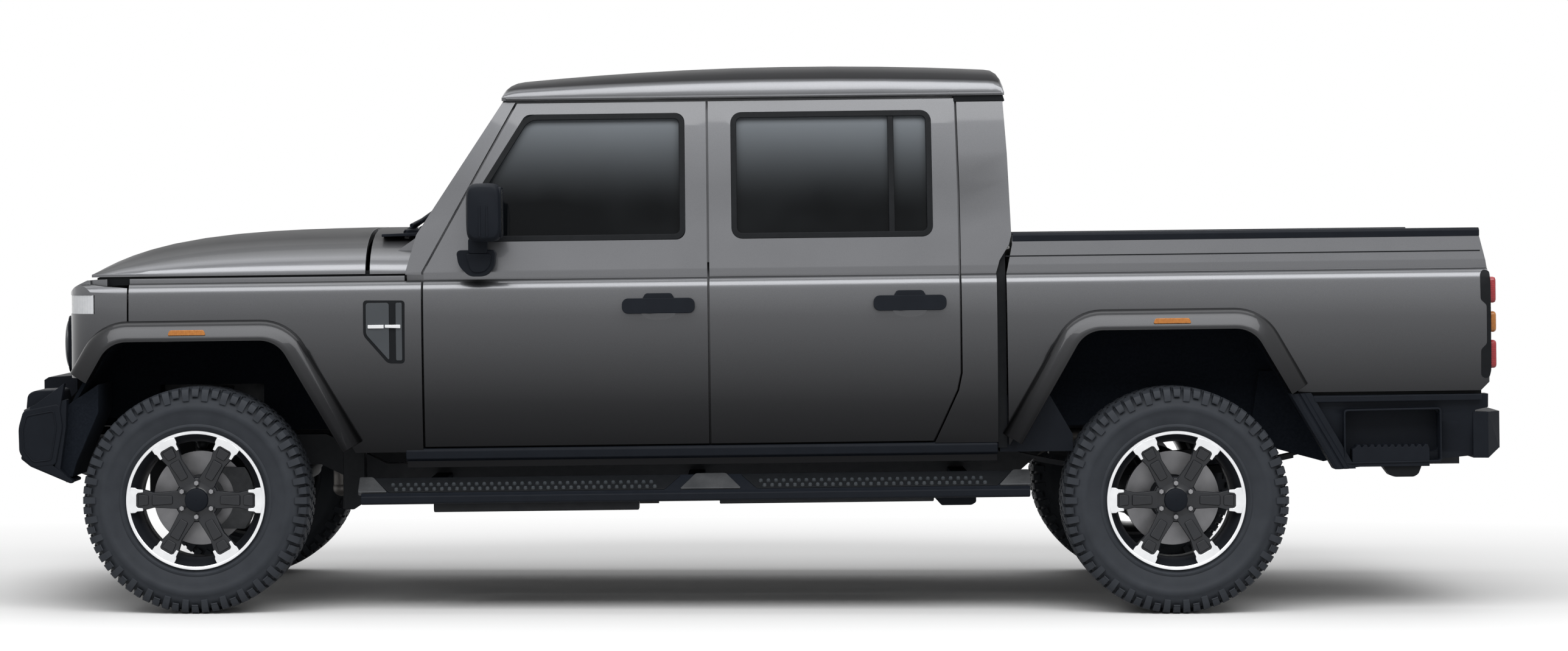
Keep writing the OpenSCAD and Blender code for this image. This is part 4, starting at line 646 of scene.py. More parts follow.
# ---------------------------------------------------------------- roof trim
# A rolled gutter bead under the roof panel, and a black closing strip at each rear corner.
gutter = [(760, 1835), (770, 1836), (774, 1841), (770, 1847), (760, 1848)]
bead = lofted([[(x, out, z) for out, z in gutter] for x in (-872, 905)])
pair(bead, "SIDE_roof_gutter", body_paint, "vehicle", "body_paint")
strip = plate([(733, 1812), (733, 1842), (908, 1842), (917, 1812)], 690, side_y(1812) + 3, corner=4)
pair(strip, "SIDE_roof_corner_strip", rubber, "vehicle", "black_plastic", width=0.002)

# ---------------------------------------------------------------- load bed
# Moulded caps along the bed's rails and headboard, and a ribbed liner on its floor.
rail_out = side_y(1320)
cap_section = [(rail_out + 3, 1308), (rail_out + 4, 1330), (rail_out - 6, 1339), (742, 1339), (732, 1334),
               (730, 1300), (737, 1300), (740, 1331), (rail_out - 6, 1331), (rail_out - 2, 1308)]
pair(plate(cap_section, 932, 2596, along="X"), "SIDE_bed_rail_cap", plastic, "vehicle", "black_plastic",
     width=0.003)
headboard = plate([(926, 1322), (926, 1336), (976, 1336), (976, 1322)], -732, 732)
folded(settle(headboard, "headboard_cap", plastic, "vehicle", "black_plastic"), 0.004)
headboard.free()
mat = plate([(940, 850), (940, 856), (2526, 856), (2526, 850)], -604, 604)
rib = [(1040, 855), (1040, 861), (2500, 861), (2500, 855)]
liner = joined(mat, *[plate(rib, y - 17, y + 17, corner=3) for y in range(-540, 541, 90)])
folded(settle(liner, "bed_liner", plastic, "vehicle", "black_plastic"), 0.002)
liner.free()
for side in ("left", "right"):
    for low, high in ((940, 1040), (1918, 2526)):
        edge = plate([(low, 850), (low, 856), (high, 856), (high, 850)], 600, 732)
        settle(edge, f"bed_liner_{side}_{low}", plastic, "vehicle", "black_plastic",
               mirrored=side == "left")
        edge.free()

# ---------------------------------------------------------------- tail lamps
# A black housing wraps each rear corner, wide at the top and foot and waisted between,
# with a red, an amber and a red lens standing proud of it.
red, start, shader = finish_of("red_lens")
coloured(start, shader, grain(start, 100), (0.30, 0.012, 0.016), (0.52, 0.035, 0.045))
start.put(shader.inputs["Roughness"], 0.1 + 0.1 * grain(start, 40))
bumped(start, shader, fluted(start, "Z", 40.0), 0.5, 0.001)
housing = [(2591, 812), (2591, 905), (2612, 926), (2612, 1064), (2591, 1083), (2591, 1176), (2604, 1190),
           (2624, 1184), (2626, 1150), (2626, 830), (2620, 806), (2604, 802)]
wrap = plate(housing, 752, half_width + 2, corner=7)
for v in sliced(wrap, 2, 40).verts:
    if v.co.y > half_width:
        v.co.y = side_y(v.co.z) + 3
pair(wrap, "SIDE_tail_lamp_housing", rubber, "vehicle", "black_plastic", width=0.004)
lenses = (("stop", 1070, 1163, red), ("turn", 966, 1040, amber), ("fog", 838, 938, red))
for name, low, high, colour in lenses:
    lens = plate([(762, low), (762, high), (882, high), (882, low)], 2622, 2649, corner=14, along="X")
    pair(lens, f"SIDE_{name}_lens", colour, "vehicle", "lamp_red", width=0.009)
for side in ("left", "right"):
    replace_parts(bpy.data.objects[f"{side}_tail_lamp_housing"], "tail_lamps")

# ---------------------------------------------------------------- tyres
# All-terrain radials in black rubber. The casing is one section spun round the axle. The tread
# is one pitch set round it thirty-four times, with two shoulder lugs a side and three rows of
# centre blocks between them.
tyre_black, start, shader = finish_of("tyre_rubber", ior=1.3)
dust = grain(start, 14, 5.0)
coloured(start, shader, dust, (0.019, 0.022, 0.028), (0.050, 0.056, 0.066))
start.put(shader.inputs["Roughness"], 0.5 + 0.25 * dust)
bumped(start, shader, grain(start, 500, 3.0), 0.35, 0.0006)

tread_round = 402


def spun(section, steps=120):
    """A closed section of (radius, y) spots spun once round the wheel's axle."""
    bm = bmesh.new()
    verts = [bm.verts.new((0, y, radius)) for radius, y in section]
    edges = [bm.edges.new((verts[i - 1], verts[i])) for i in range(len(verts))]
    bmesh.ops.spin(bm, geom=verts + edges, cent=(0, 0, 0), axis=(0, 1, 0), angle=2 * math.pi, steps=steps,
                   use_merge=True)
    bmesh.ops.remove_doubles(bm, verts=bm.verts, dist=0.01)
    bmesh.ops.recalc_face_normals(bm, faces=bm.faces[:])
    return bm


def repeated(bm, count):
    """The same shape set evenly round the wheel's axle, the first half a step off the top."""
    bmesh.ops.rotate(bm, cent=(0, 0, 0), matrix=Matrix.Rotation(math.pi / count, 3, "Y"), verts=bm.verts)
    bmesh.ops.spin(bm, geom=bm.verts[:] + bm.edges[:] + bm.faces[:], cent=(0, 0, 0), axis=(0, 1, 0),
                   angle=2 * math.pi * (count - 1) / count, steps=count - 1, use_duplicate=True)
    return bm


def on_all_wheels(bm, name, material, slot, width=0, sharp=40):
    """One wheel piece, drawn for the left side about its own axle, on all four wheels."""
    for end in ("front", "rear"):
        for side in ("left", "right"):
            hub = Matrix.Translation(joints[f"{end}_{side}_spin"]["pos_m"]) @ Matrix.Scale(0.001, 4)
            piece = settle(bm, f"{end}_{side}_{name}", material, f"{end}_{side}_wheel", slot, shape=hub,
                           sharp=sharp, mirrored=side == "right")
            if width:
                folded(piece, width, segments=1)
            if name in ("tyre_casing", "rim_barrel"):
                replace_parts(piece, f"{end}_{side}_" + ("tyre" if name == "tyre_casing" else "rim"))
    bm.free()


half_section = [(229, -96), (246, -103), (256, -110), (262, -119), (268, -119), (271, -117), (276, -119),
                (300, -126), (318, -129), (321, -131), (338, -131), (341, -129), (352, -128), (368, -121),
                (380, -112), (387, -98), (389, -70), (390, -30)]
casing = spun(half_section + [(radius, -y) for radius, y in half_section[::-1]], 144)
on_all_wheels(casing, "tyre_casing", tyre_black, "tyre_rubber")

pitches = 34
pitch = 2 * math.pi * tread_round / pitches
blocks = []
for start_x, low in ((0, 354), (pitch / 2, 373)):
    lug = [(-84, 386), (-82, 401), (-112, 400), (-124, 395), (-130, 384), (-132, 368), (-133, low),
           (-127, low - 3), (-120, 374)]
    blocks.append(plate(lug, start_x - 12.5, start_x + 12.5, along="X"))
    blocks.append(plate([(-y, radius) for y, radius in lug[::-1]], start_x + 5, start_x + 30, along="X"))
for at, y, lean in ((6, -54, 7), (24, 0, -7), (0, 54, 7), (42, -52, 7), (60, 2, -7), (36, 52, 7)):
    block = [(at - 13, y - 19), (at + 12, y - 21), (at + 14 + lean, y + 19), (at - 11 + lean, y + 21)]
    blocks.append(plate(block, 384, 401, along="Z"))
tread = joined(*blocks)
for v in tread.verts:
    turn = v.co.x / tread_round
    v.co = (v.co.z * math.sin(turn), v.co.y, v.co.z * math.cos(turn))
on_all_wheels(repeated(tread, pitches), "tyre_tread", tyre_black, "tyre_rubber", width=0.0025)

# ---------------------------------------------------------------- wheels
# Cast alloy wheels, gloss black inside, with the outer ring and the forked end of each of
# the six spokes turned bright. Steel brake discs show between the spokes.
gloss_black, start, shader = finish_of("wheel_black", ior=1.45)
coloured(start, shader, grain(start, 20, 3.0), (0.008, 0.009, 0.012), (0.015, 0.017, 0.021))
start.put(shader.inputs["Roughness"], 0.26 + 0.12 * grain(start, 60))
machined, start, shader = finish_of("machined_alloy", metallic=1.0)
coloured(start, shader, grain(start, 30, 3.0), (0.70, 0.71, 0.73), (0.90, 0.91, 0.92))
start.put(shader.inputs["Roughness"], 0.24 + 0.14 * grain(start, 40))
bumped(start, shader, grain(start, 900, squash=(1, 20, 1)), 0.15, 0.0002)
steel, start, shader = finish_of("brake_steel", metallic=1.0)
coloured(start, shader, grain(start, 25, 3.0), (0.16, 0.16, 0.17), (0.34, 0.34, 0.35))
start.put(shader.inputs["Roughness"], 0.34 + 0.2 * grain(start, 50))

barrel = [(246, -112), (247, -106), (231, -100), (228, -90), (214, -60), (214, 60), (228, 90), (231, 100),
          (247, 106), (246, 112), (236, 112), (222, 94), (207, 62), (207, -56), (220, -88), (236, -111)]
on_all_wheels(spun(barrel), "rim_barrel", gloss_black, "rim_alloy")
ring = spun([(235, -108), (235.5, -115), (238, -117), (246, -117), (248, -114), (248, -107)], 144)
on_all_wheels(ring, "bright_ring", machined, "rim_alloy")

fork = [(-46, 231), (-45, 214), (-40, 207), (-38, 186), (-28, 186), (-26, 205), (-20, 210), (20, 210),
        (26, 205), (28, 186), (38, 186), (40, 207), (45, 214), (46, 231), (24, 237), (0, 239), (-24, 237)]
on_all_wheels(repeated(plate(fork, -117, -101), 6), "spoke_forks", machined, "rim_alloy", width=0.002,
              sharp=30)

spoke = plate([(-34, 40), (-29, 110), (-27, 150), (-40, 200), (-44, 229), (44, 229), (40, 200), (27, 150),
               (29, 110), (34, 40)], -107, -74)
ridge = plate([(-15, 84), (-19, 156), (19, 156), (15, 84)], -114, -100, corner=6)
knuckle = plate([(-17, 168), (-22, 204), (22, 204), (17, 168)], -113, -100, corner=5)
web = joined(sliced(spoke, 2, 24), sliced(ridge, 2, 24), knuckle)
for v in web.verts:
    inward = max(0, (215 - v.co.z) / 155)
    v.co.y += 20 * inward ** 1.4 if v.co.y < -90 else 8 * inward
hub = spun([(0.5, -92), (40, -92), (46, -88), (76, -86), (80, -80), (80, -53), (0.5, -53)], 60)
on_all_wheels(joined(repeated(web, 6), hub), "spokes", gloss_black, "rim_alloy", width=0.003, sharp=30)
cap = spun([(0.5, -104), (34, -104), (40, -101), (42, -92), (42, -86), (0.5, -86)], 60)
on_all_wheels(cap, "centre_cap", plastic, "rim_alloy", width=0.001)
nuts = bmesh.new()
facing_out = Matrix.Translation((0, -90, 60)) @ Matrix.Rotation(math.radians(90), 4, "X")
bmesh.ops.create_cone(nuts, cap_ends=True, segments=6, radius1=10.5, radius2=9, depth=22,
                      matrix=Matrix.Rotation(math.radians(30), 4, "Y") @ facing_out)
on_all_wheels(repeated(nuts, 6), "wheel_nuts", steel, "rim_alloy", width=0.001)
disc = spun([(84, 29), (84, 52.5), (168.6, 52.5), (168.6, 27.4), (84, 27.4)], 90)
on_all_wheels(disc, "brake_disc", steel, "rim_alloy", width=0.001)

# ---------------------------------------------------------------- under the body
# Frame, springs and axles in satin black chassis paint, engine, steering rack and knuckles in
# dull cast metal, a dull steel exhaust and near-black felt liners in the arches. Rubber flaps and
# felt aprons and shields shut the arches' ends, clear of the turned front wheels.
chassis_black, start, shader = finish_of("chassis_black", ior=1.35)
coloured(start, shader, grain(start, 9, 4.0), (0.006, 0.007, 0.009), (0.016, 0.018, 0.022))
start.put(shader.inputs["Roughness"], 0.45 + 0.25 * grain(start, 30))
bumped(start, shader, grain(start, 300, 3.0), 0.2, 0.0008)
cast, start, shader = finish_of("cast_metal", metallic=0.85)
coloured(start, shader, grain(start, 12, 4.0), (0.045, 0.047, 0.052), (0.12, 0.125, 0.13))
start.put(shader.inputs["Roughness"], 0.5 + 0.2 * grain(start, 60))
bumped(start, shader, grain(start, 260, 3.0), 0.4, 0.001)
exhaust_steel, start, shader = finish_of("exhaust_steel", metallic=1.0)
coloured(start, shader, grain(start, 6, 4.0), (0.10, 0.09, 0.085), (0.24, 0.23, 0.22))
start.put(shader.inputs["Roughness"], 0.42 + 0.25 * grain(start, 40))
felt, start, shader = finish_of("arch_felt", ior=1.15)
coloured(start, shader, grain(start, 120, 4.0), (0.006, 0.008, 0.012), (0.017, 0.021, 0.029))
start.put(shader.inputs["Roughness"], 0.85 + 0.1 * grain(start, 60))
bumped(start, shader, grain(start, 700, 3.0), 0.6, 0.001)
underside = {
    chassis_black: ("chassis_frame", "cross_members", "hitch_receiver", "rear_springs", "front_suspension",
                    "rear_axle", "cab_floor"),
    cast: ("powertrain", "steering_rack", "left_knuckle", "right_knuckle"),
    felt: ("fuel_tank", "wheel_arch_liners"),
    exhaust_steel: ("exhaust",),
}
for finish, nodes in underside.items():
    for node in nodes:
        frame["nodes"][node].data.materials.clear()
        frame["nodes"][node].data.materials.append(finish)
flap = plate([(-1478, 372), (-1478, 640), (-1400, 640), (-1400, 398), (-1440, 372)], 610, 700)
pair(flap, "SIDE_mud_flap", rubber, "vehicle", "black_plastic", width=0.003)
apron = plate([(-2470, 520), (-2450, 760), (-2330, 840), (-2330, 740), (-2410, 560), (-2425, 510)],
              560, 860)
pair(apron, "SIDE_bumper_apron", felt, "vehicle", "black_plastic", width=0.003)
shield = plate([(1790, 575), (1830, 830), (2300, 830), (2330, 560), (2060, 500)], 600, 655)
pair(shield, "SIDE_tail_splash_shield", felt, "vehicle", "black_plastic", width=0.003)

# ---------------------------------------------------------------- front bumper
# A moulded black bumper with raised box ends, each framed by a rounded bead, with a strut and a
# blade behind and a ledge on top. A fog lamp sits in each half of its face, and a cast skid plate
# hangs between the frame rails.
for node in ("front_bumper", "rear_bumper", "grille", "side_steps"):
    panel(node, material=plastic, slot="black_plastic", width=0.004)
box_end = [(-2606, 600), (-2608, 690), (-2590, 752), (-2462, 776), (-2450, 690), (-2476, 556), (-2560, 548)]
pair(plate(box_end, 858, 908, corner=14), "SIDE_bumper_end", plastic, "vehicle", "black_plastic",
     width=0.006)
face = plate([(-2592, 612), (-2594, 684), (-2580, 734), (-2480, 752), (-2470, 690), (-2490, 574),
              (-2556, 566)], 896, 911, corner=10, rim=5)
pair(face, "SIDE_bumper_end_bead", plastic, "vehicle", "black_plastic", width=0.002)
strut = plate([(-2462, 782), (-2436, 790), (-2440, 690), (-2462, 540), (-2420, 500), (-2440, 494),
               (-2482, 548), (-2462, 690)], 852, 900, corner=4)
pair(strut, "SIDE_bumper_strut", plastic, "vehicle", "black_plastic", width=0.004)
blade = plate([(-2598, 592), (-2420, 500), (-2424, 490), (-2566, 552), (-2600, 580)], 700, 904, corner=4)
pair(blade, "SIDE_bumper_blade", plastic, "vehicle", "black_plastic", width=0.003)
ledge = plate([(-2590, 748), (-2584, 806), (-2560, 820), (-2470, 822), (-2456, 760)], 640, 850, corner=12)
pair(ledge, "SIDE_bumper_ledge", plastic, "vehicle", "black_plastic", width=0.006)

clear_lens, start, shader = finish_of("clear_lens")
coloured(start, shader, grain(start, 60), (0.62, 0.64, 0.67), (0.80, 0.82, 0.84))
start.put(shader.inputs["Roughness"], 0.05 + 0.08 * grain(start, 30))
shader.inputs["Alpha"].default_value = 0.42
lamp_white, start, shader = finish_of("lamp_diffuser", ior=1.45)
coloured(start, shader, grain(start, 60, 3.0), (0.66, 0.68, 0.71), (0.82, 0.83, 0.85))
start.put(shader.inputs["Roughness"], 0.12 + 0.12 * grain(start, 40))
bumped(start, shader, fluted(start, "X", 30.0), 0.4, 0.001)


def turned(section, middle, steps=64):
    """A closed section of (radius, x) spots turned round a fore-and-aft axis at a spot."""
    bm = bmesh.new()
    verts = [bm.verts.new((x, 0, radius)) for radius, x in section]
    edges = [bm.edges.new((verts[i - 1], verts[i])) for i in range(len(verts))]
    bmesh.ops.spin(bm, geom=verts + edges, cent=(0, 0, 0), axis=(1, 0, 0), angle=2 * math.pi, steps=steps,
                   use_merge=True)
    bmesh.ops.remove_doubles(bm, verts=bm.verts, dist=0.01)
    bmesh.ops.recalc_face_normals(bm, faces=bm.faces[:])
    bmesh.ops.translate(bm, vec=middle, verts=bm.verts)
    return bm


fog = turned([(0.5, -8), (46, -8), (50, -12), (56, -12), (56, 20), (0.5, 20)], (-2612, 700, 640))
pair(fog, "SIDE_fog_lamp_ring", rubber, "vehicle", "black_plastic", width=0.001)
glow = turned([(0.5, -16), (30, -14), (46, -9), (46, -4), (0.5, -4)], (-2612, 700, 640))
pair(glow, "SIDE_fog_lamp", lamp_white, "vehicle", "lamp_clear", width=0.001)
skid = plate([(-2606, 590), (-2560, 520), (-2430, 470), (-2424, 482), (-2552, 532), (-2594, 596)],
             -330, 330, corner=3)
folded(settle(skid, "skid_plate", cast, "vehicle", "black_plastic"), 0.003)
skid.free()

# ---------------------------------------------------------------- grille and headlamps
# Round headlamps with a chrome bowl and projector, a satin ring and a clear domed lens, either
# side of a slotted black grille with five satin bars and felt behind. White wrap-round lamps, cut
# from the frame's own, sit at the upper corners of the wings.
backing = plate([(-640, 885), (-640, 1075), (640, 1075), (640, 885)], -2438, -2430, along="X")
settle(backing, "grille_backing", felt, "vehicle", "black_plastic")
backing.free()
lamp = (-2460, 600, 980)
for k in range(5):
    slot = lamp[2] + 34 * (k - 2)
    bar = plate([(-484, slot + 7), (-484, slot + 11), (484, slot + 11), (484, slot + 7)],
                -2470, -2450, along="X")
    folded(settle(bar, f"grille_bar_{k}", satin, "vehicle", "black_plastic"), 0.001)
    bar.free()
bowl = turned([(0.5, 26), (40, 20), (70, 2), (76, -4), (80, -4), (80, 30), (0.5, 30)], lamp)
pair(bowl, "SIDE_headlamp_bowl", chrome, "vehicle", "lamp_clear", width=0)
ring = turned([(76, 0), (77, -14), (84, -16), (92, -10), (92, 10), (76, 10)], lamp)
pair(ring, "SIDE_headlamp_ring", satin, "vehicle", "black_plastic", width=0.001)
projector = turned([(0.5, -4), (22, -6), (30, -2), (30, 8), (0.5, 14)], lamp)
pair(projector, "SIDE_headlamp_projector", chrome, "vehicle", "lamp_clear", width=0)
dome = turned([(0.5, -22), (40, -19), (66, -12), (77, -4), (77, -1), (65, -8), (40, -15), (0.5, -18)], lamp)
pair(dome, "SIDE_headlamp_lens", clear_lens, "vehicle", "lamp_clear", width=0)
wrap = welded("headlamps")
bmesh.ops.delete(wrap, geom=[v for v in wrap.verts if v.co.z < 1.045], context="VERTS")
lamps = settle(wrap, "corner_lamps", lamp_white, "vehicle", "lamp_clear", shape=Matrix())
wrap.free()
folded(lamps, 0.003)
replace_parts(lamps, "headlamps")

# ---------------------------------------------------------------- side steps
# Black running boards in two rubber treads with rows of satin studs, parted and ended by three
# castings, all laid on the step's slope. Two guard rails and a bracket hang below.
slope = (Vector((838, 494)), Vector((78, -54)).normalized(), Vector((54, 78)).normalized())


def on_step(bm):
    """Lays a flat piece on the step's slope. Its y was the way down it and its z the height over it."""
    top, down, over = slope
    for v in bm.verts:
        place = top + down * v.co.y + over * v.co.z
        v.co = (v.co.x, place.x, place.y)
    return bm


castings = (
    [(-1404, 4), (-1356, 4), (-1300, 90), (-1404, 90)],
    [(-206, 4), (-98, 4), (-44, 90), (-262, 90)],
    [(926, 4), (984, 4), (984, 90), (872, 90)],
)
for k, outline in enumerate(castings):
    casting = on_step(plate(outline, -10, 7, corner=7, along="Z"))
    pair(casting, f"SIDE_step_casting_{k}", cast, "vehicle", "black_plastic", width=0.004)
stud_pitch = 27
for k, (low, high) in enumerate(((-1330, -282), (-22, 900))):
    outline = [(low - 24, 6), (high + 24, 6), (high - 34, 88), (low + 34, 88)]
    tread_pad = on_step(plate(outline, -6, 3, corner=8, along="Z"))
    pair(tread_pad, f"SIDE_step_pad_{k}", rubber, "vehicle", "black_plastic", width=0.002)
    studs = bmesh.new()
    for row, down in enumerate((48, 74)):
        for n in range(int((high - low - 90) / stud_pitch)):
            spot = Matrix.Translation((low + 48 + stud_pitch * n + 13 * row, down, 5))
            bmesh.ops.create_cone(studs, cap_ends=True, segments=8, radius1=9, radius2=6, depth=7,
                                  matrix=spot)
    pair(on_step(studs), f"SIDE_step_studs_{k}", satin, "vehicle", "black_plastic", width=0)
front_guard = plate([(700, 372), (712, 364), (780, 364), (790, 374), (790, 398), (776, 406), (700, 406)],
                    -1146, -411, corner=4, along="X")
pair(front_guard, "SIDE_step_guard_front", chassis_black, "vehicle", "black_metal", width=0.004)
rear_guard = plate([(700, 388), (708, 382), (780, 382), (790, 390), (790, 404), (700, 404)],
                   -122, 645, along="X")
pair(rear_guard, "SIDE_step_guard_rear", chassis_black, "vehicle", "black_metal", width=0.004)
bracket = plate([(640, 404), (672, 368), (780, 368), (796, 378), (796, 404)], 700, 792, corner=5)
pair(bracket, "SIDE_step_bracket", plastic, "vehicle", "black_plastic", width=0.004)

# ---------------------------------------------------------------- rear bumper
# The frame's own bumper and side cladding, in black plastic. A framed pocket with a serrated
# foot step lies in each side, over a rubber hanger, and a rail and a rubber strip close its top.
pocket = plate([(2098, 504), (2098, 698), (2446, 702), (2446, 508)], 838, 906, corner=14, rim=7)
pair(pocket, "SIDE_pocket_frame", plastic, "vehicle", "black_plastic", width=0.003)
teeth = []
for n in range(11):
    tooth = 2140 + 24 * n
    teeth += [(tooth, 563), (tooth + 6, 572), (tooth + 16, 572), (tooth + 20, 563)]
foot_step = plate([(2128, 494), (2128, 556), *teeth, (2402, 556), (2402, 494)], 846, 902)
pair(foot_step, "SIDE_foot_step", plastic, "vehicle", "black_plastic", width=0.002)
hanger = plate([(2236, 496), (2262, 462), (2280, 456), (2348, 456), (2364, 466), (2376, 496)],
               820, 890, corner=6)
pair(hanger, "SIDE_step_hanger", rubber, "vehicle", "black_plastic", width=0.004)
top_rail = plate([(1996, 724), (1990, 746), (2590, 748), (2590, 726)], 846, 902, corner=5)
pair(top_rail, "SIDE_cladding_rail", plastic, "vehicle", "black_plastic", width=0.005)
gap_strip = plate([(1990, 742), (1990, 764), (2596, 766), (2596, 742)], 700, 858)
pair(gap_strip, "SIDE_cladding_gap_strip", rubber, "vehicle", "black_plastic", width=0)

# ---------------------------------------------------------------- wipers
# Two black wipers stand off the foot of the windscreen on their spindles. Each is made of round
# bars, its arms, a link and the blades along the glass, and a plastic grille lies before them.


def rod(one, two, radius):
    """A round bar between two spots."""
    one, two = Vector(one), Vector(two)
    bm = bmesh.new()
    lay = Matrix.Translation((one + two) / 2) @ (two - one).to_track_quat("Z", "Y").to_matrix().to_4x4()
    bmesh.ops.create_cone(bm, cap_ends=True, segments=12, radius1=radius, radius2=radius,
                          depth=(two - one).length, matrix=lay)
    return bm


for name, y in (("driver", -560), ("passenger", 60)):
    spindle = rod((-1195, y, 1342), (-1195, y, 1376), 17)
    long_arm = rod((-1195, y, 1368), (-1189, y + 290, 1398), 9.5)
    long_blade = rod((-1199, y + 18, 1380), (-1173, y + 545, 1420), 8.5)
    short_arm = rod((-1252, y - 40, 1366), (-1160, y + 120, 1440), 9)
    link = rod((-1195, y, 1370), (-1252, y - 40, 1366), 12)
    short_blade = rod((-1228, y - 60, 1392), (-1146, y + 330, 1450), 7)
    wiper = joined(spindle, long_arm, long_blade, short_arm, link, short_blade)
    folded(settle(wiper, name + "_wiper", plastic, "vehicle", "black_plastic"), 0.001)
    wiper.free()
scuttle_grille = plate([(-1330, 1352), (-1330, 1362), (-1205, 1366), (-1205, 1354)], -690, 690)
folded(settle(scuttle_grille, "scuttle_grille", plastic, "vehicle", "black_plastic"), 0.002)
scuttle_grille.free()

# ---------------------------------------------------------------- seats
# Stuffed seats in dark grained leather cloth: two bucket seats and a rear bench, each pad
# blown up under its cover, with sewn channels pressed in afterwards.
leather, start, shader = finish_of("seat_cover", ior=1.4)
coloured(start, shader, grain(start, 18, 4.0), (0.014, 0.015, 0.018), (0.034, 0.036, 0.041))
start.put(shader.inputs["Roughness"], 0.5 + 0.2 * grain(start, 40))
bumped(start, shader, grain(start, 600, 3.0), 0.4, 0.0008)


def baked(piece, room):
    """Turns a piece's modifiers into its mesh, worked out in a scene that holds nothing else."""
    with bpy.context.temp_override(scene=room, view_layer=room.view_layers[0]):
        done = bpy.data.meshes.new_from_object(piece.evaluated_get(bpy.context.evaluated_depsgraph_get()))
    piece.modifiers.clear()
    piece.data = done
    done.shade_smooth()


def stuffed(bm, name, channels, swell=0.024):
    """A foam pad under a sewn cover, with channels pressed in across the given heights or depths."""
    pad = settle(bm, name, leather, "vehicle", "trim_fabric")
    bm.free()
    room = bpy.data.scenes.new("sewing_room")
    room.collection.objects.link(pad)
    even = pad.modifiers.new("even_mesh", "REMESH")
    even.mode, even.voxel_size = "VOXEL", 0.014
    baked(pad, room)
    rest = [v.co.copy() for v in pad.data.vertices]
    cover = pad.modifiers.new("cover", "CLOTH")
    cover.settings.use_pressure = True
    cover.settings.uniform_pressure_force = 4
    cover.settings.effector_weights.gravity = 0
    for moment in range(1, 21):
        room.frame_set(moment)
    baked(pad, room)
    for v, old in zip(pad.data.vertices, rest):
        moved = v.co - old
        v.co = old + moved * min(1, swell / max(moved.length, 1e-6))
    smooth = pad.modifiers.new("smooth", "SUBSURF")
    smooth.levels = smooth.render_levels = 1
    baked(pad, room)
    bpy.data.scenes.remove(room)
    normals = [v.normal.copy() for v in pad.data.vertices]
    for v, out in zip(pad.data.vertices, normals):
        groove = sum(math.exp(-(((v.co[axis] - spot) / 0.009) ** 2)) for axis, spot in channels)
        v.co -= 0.009 * min(1, groove) * out
    return pad


def twin(pad, name):
    """The same pad again, mirrored to the left side."""
    bm = bmesh.new()
    bm.from_mesh(pad.data)
    other = settle(bm, name, leather, "vehicle", "trim_fabric", shape=Matrix(), mirrored=True)
    bm.free()
    return other


seat_x, seat_z = -725, 930
cushion = plate([(seat_x, seat_z - 130), (seat_x, seat_z - 6), (seat_x + 430, seat_z - 26),
                 (seat_x + 450, seat_z - 140)], 150, 610, corner=36)
seat_seams = [(1, 0.27), (1, 0.49), (0, -0.60), (0, -0.50), (0, -0.40)]
twin(stuffed(cushion, "front_right_cushion", seat_seams), "front_left_cushion")
back = plate([(seat_x + 425, seat_z - 120), (seat_x + 565, seat_z + 500), (seat_x + 660, seat_z + 490),
              (seat_x + 545, seat_z - 120)], 156, 604, corner=36)
back_seams = [(1, 0.27), (1, 0.49), (2, 1.0), (2, 1.1), (2, 1.2), (2, 1.3)]
twin(stuffed(back, "front_right_back", back_seams), "front_left_back")
headrest = plate([(seat_x + 570, seat_z + 575), (seat_x + 598, seat_z + 706), (seat_x + 668, seat_z + 698),
                  (seat_x + 658, seat_z + 565)], 264, 496, corner=28)
twin(stuffed(headrest, "front_right_headrest", []), "front_left_headrest")

bench_x = 135
places = [(1, -0.21), (1, 0.21), (1, -0.42), (1, 0.42)]
bench = plate([(bench_x + 10, seat_z - 116), (bench_x + 10, seat_z + 8), (bench_x + 430, seat_z - 8),
               (bench_x + 440, seat_z - 130)], -628, 628, corner=36)
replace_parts(stuffed(bench, "bench_cushion", places + [(0, 0.27), (0, 0.38), (0, 0.49)]), "seats")
bench_back = plate([(bench_x + 440, seat_z - 100), (bench_x + 530, seat_z + 522),
                    (bench_x + 612, seat_z + 508), (bench_x + 550, seat_z - 120)], -628, 628, corner=34)
stuffed(bench_back, "bench_back", places + [(2, 1.05), (2, 1.18), (2, 1.31)])
for place, y in (("left", -400), ("middle", 0), ("right", 400)):
    headrest = plate([(bench_x + 532, seat_z + 530), (bench_x + 552, seat_z + 672),
                      (bench_x + 610, seat_z + 664), (bench_x + 610, seat_z + 520)],
                     y - 98, y + 98, corner=24)
    stuffed(headrest, f"bench_{place}_headrest", [])

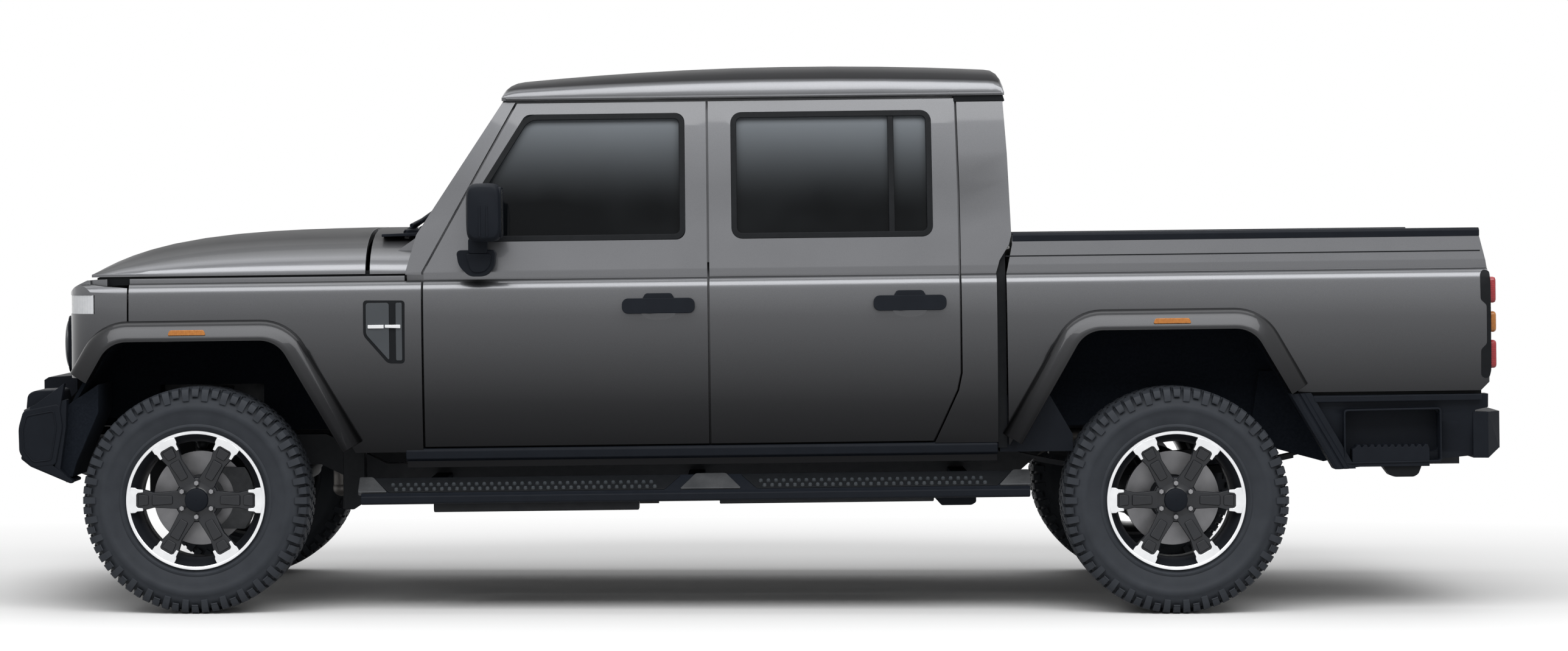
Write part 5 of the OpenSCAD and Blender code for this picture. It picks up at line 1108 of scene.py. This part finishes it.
# Moulded bases carry the pads, and two rods hold each front headrest.
base = plate([(seat_x + 40, 565), (seat_x + 30, seat_z - 128), (seat_x + 470, seat_z - 146),
              (seat_x + 480, 565)], 190, 570, corner=20)
pins = [rod((seat_x + 625, y, seat_z + 470), (seat_x + 632, y, seat_z + 600), 7) for y in (310, 450)]
pair(joined(base, *pins), "front_SIDE_seat_base", plastic, "vehicle", "black_plastic", width=0.004)
bench_base = plate([(bench_x + 30, 565), (bench_x + 24, seat_z - 116), (bench_x + 455, seat_z - 130),
                    (bench_x + 460, 565)], -600, 600, corner=16)
folded(settle(bench_base, "bench_base", plastic, "vehicle", "black_plastic"), 0.004)
bench_base.free()

# ---------------------------------------------------------------- inside the cab
# A moulded dashboard with a hood over the dials, a dark screen and four round vents, and door
# cards with arm rests, all in soft grained black like the steering wheel.
for node in ("dashboard", "steering_wheel"):
    panel(node, material=plastic, slot="black_plastic", width=0.005 if node == "dashboard" else 0.001)
hood = plate([(-1128, 1282), (-1090, 1312), (-1000, 1312), (-962, 1270)], -540, -220, corner=12)
folded(settle(hood, "dial_hood", plastic, "vehicle", "black_plastic"), 0.006)
hood.free()
screen = plate([(-968, 1196), (-984, 1330), (-974, 1332), (-956, 1198)], -140, 140)
folded(settle(screen, "dash_screen", tinted_glass, "vehicle", "glass"), 0.003)
screen.free()
for y in (-640, -180, 180, 640):
    vent = turned([(0.5, 4), (30, 4), (36, 8), (42, 8), (42, -20), (0.5, -20)], (-932, y, 1222), 32)
    settle(vent, f"dash_vent_{y + 640}", satin, "vehicle", "black_plastic")
    vent.free()
door_cards = (
    ("front", [(-1120, 640), (-1120, 1214), (-215, 1214), (-215, 640)], -1000, -330),
    ("rear", [(-60, 640), (-60, 1214), (680, 1214), (680, 980), (580, 640)], 0, 520),
)
for end, outline, low, high in door_cards:
    card = plate(outline, 800, 809, corner=24)
    arm_rest = plate([(low, 932), (low + 20, 984), (high - 20, 984), (high, 932)], 768, 806, corner=14)
    pair(joined(card, arm_rest), f"{end}_SIDE_door_card", plastic, f"{end}_SIDE_door", "black_plastic",
         width=0.005)

size = {"cad": [list(corner) for corner in cad_box], "visual": [list(corner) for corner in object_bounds()]}
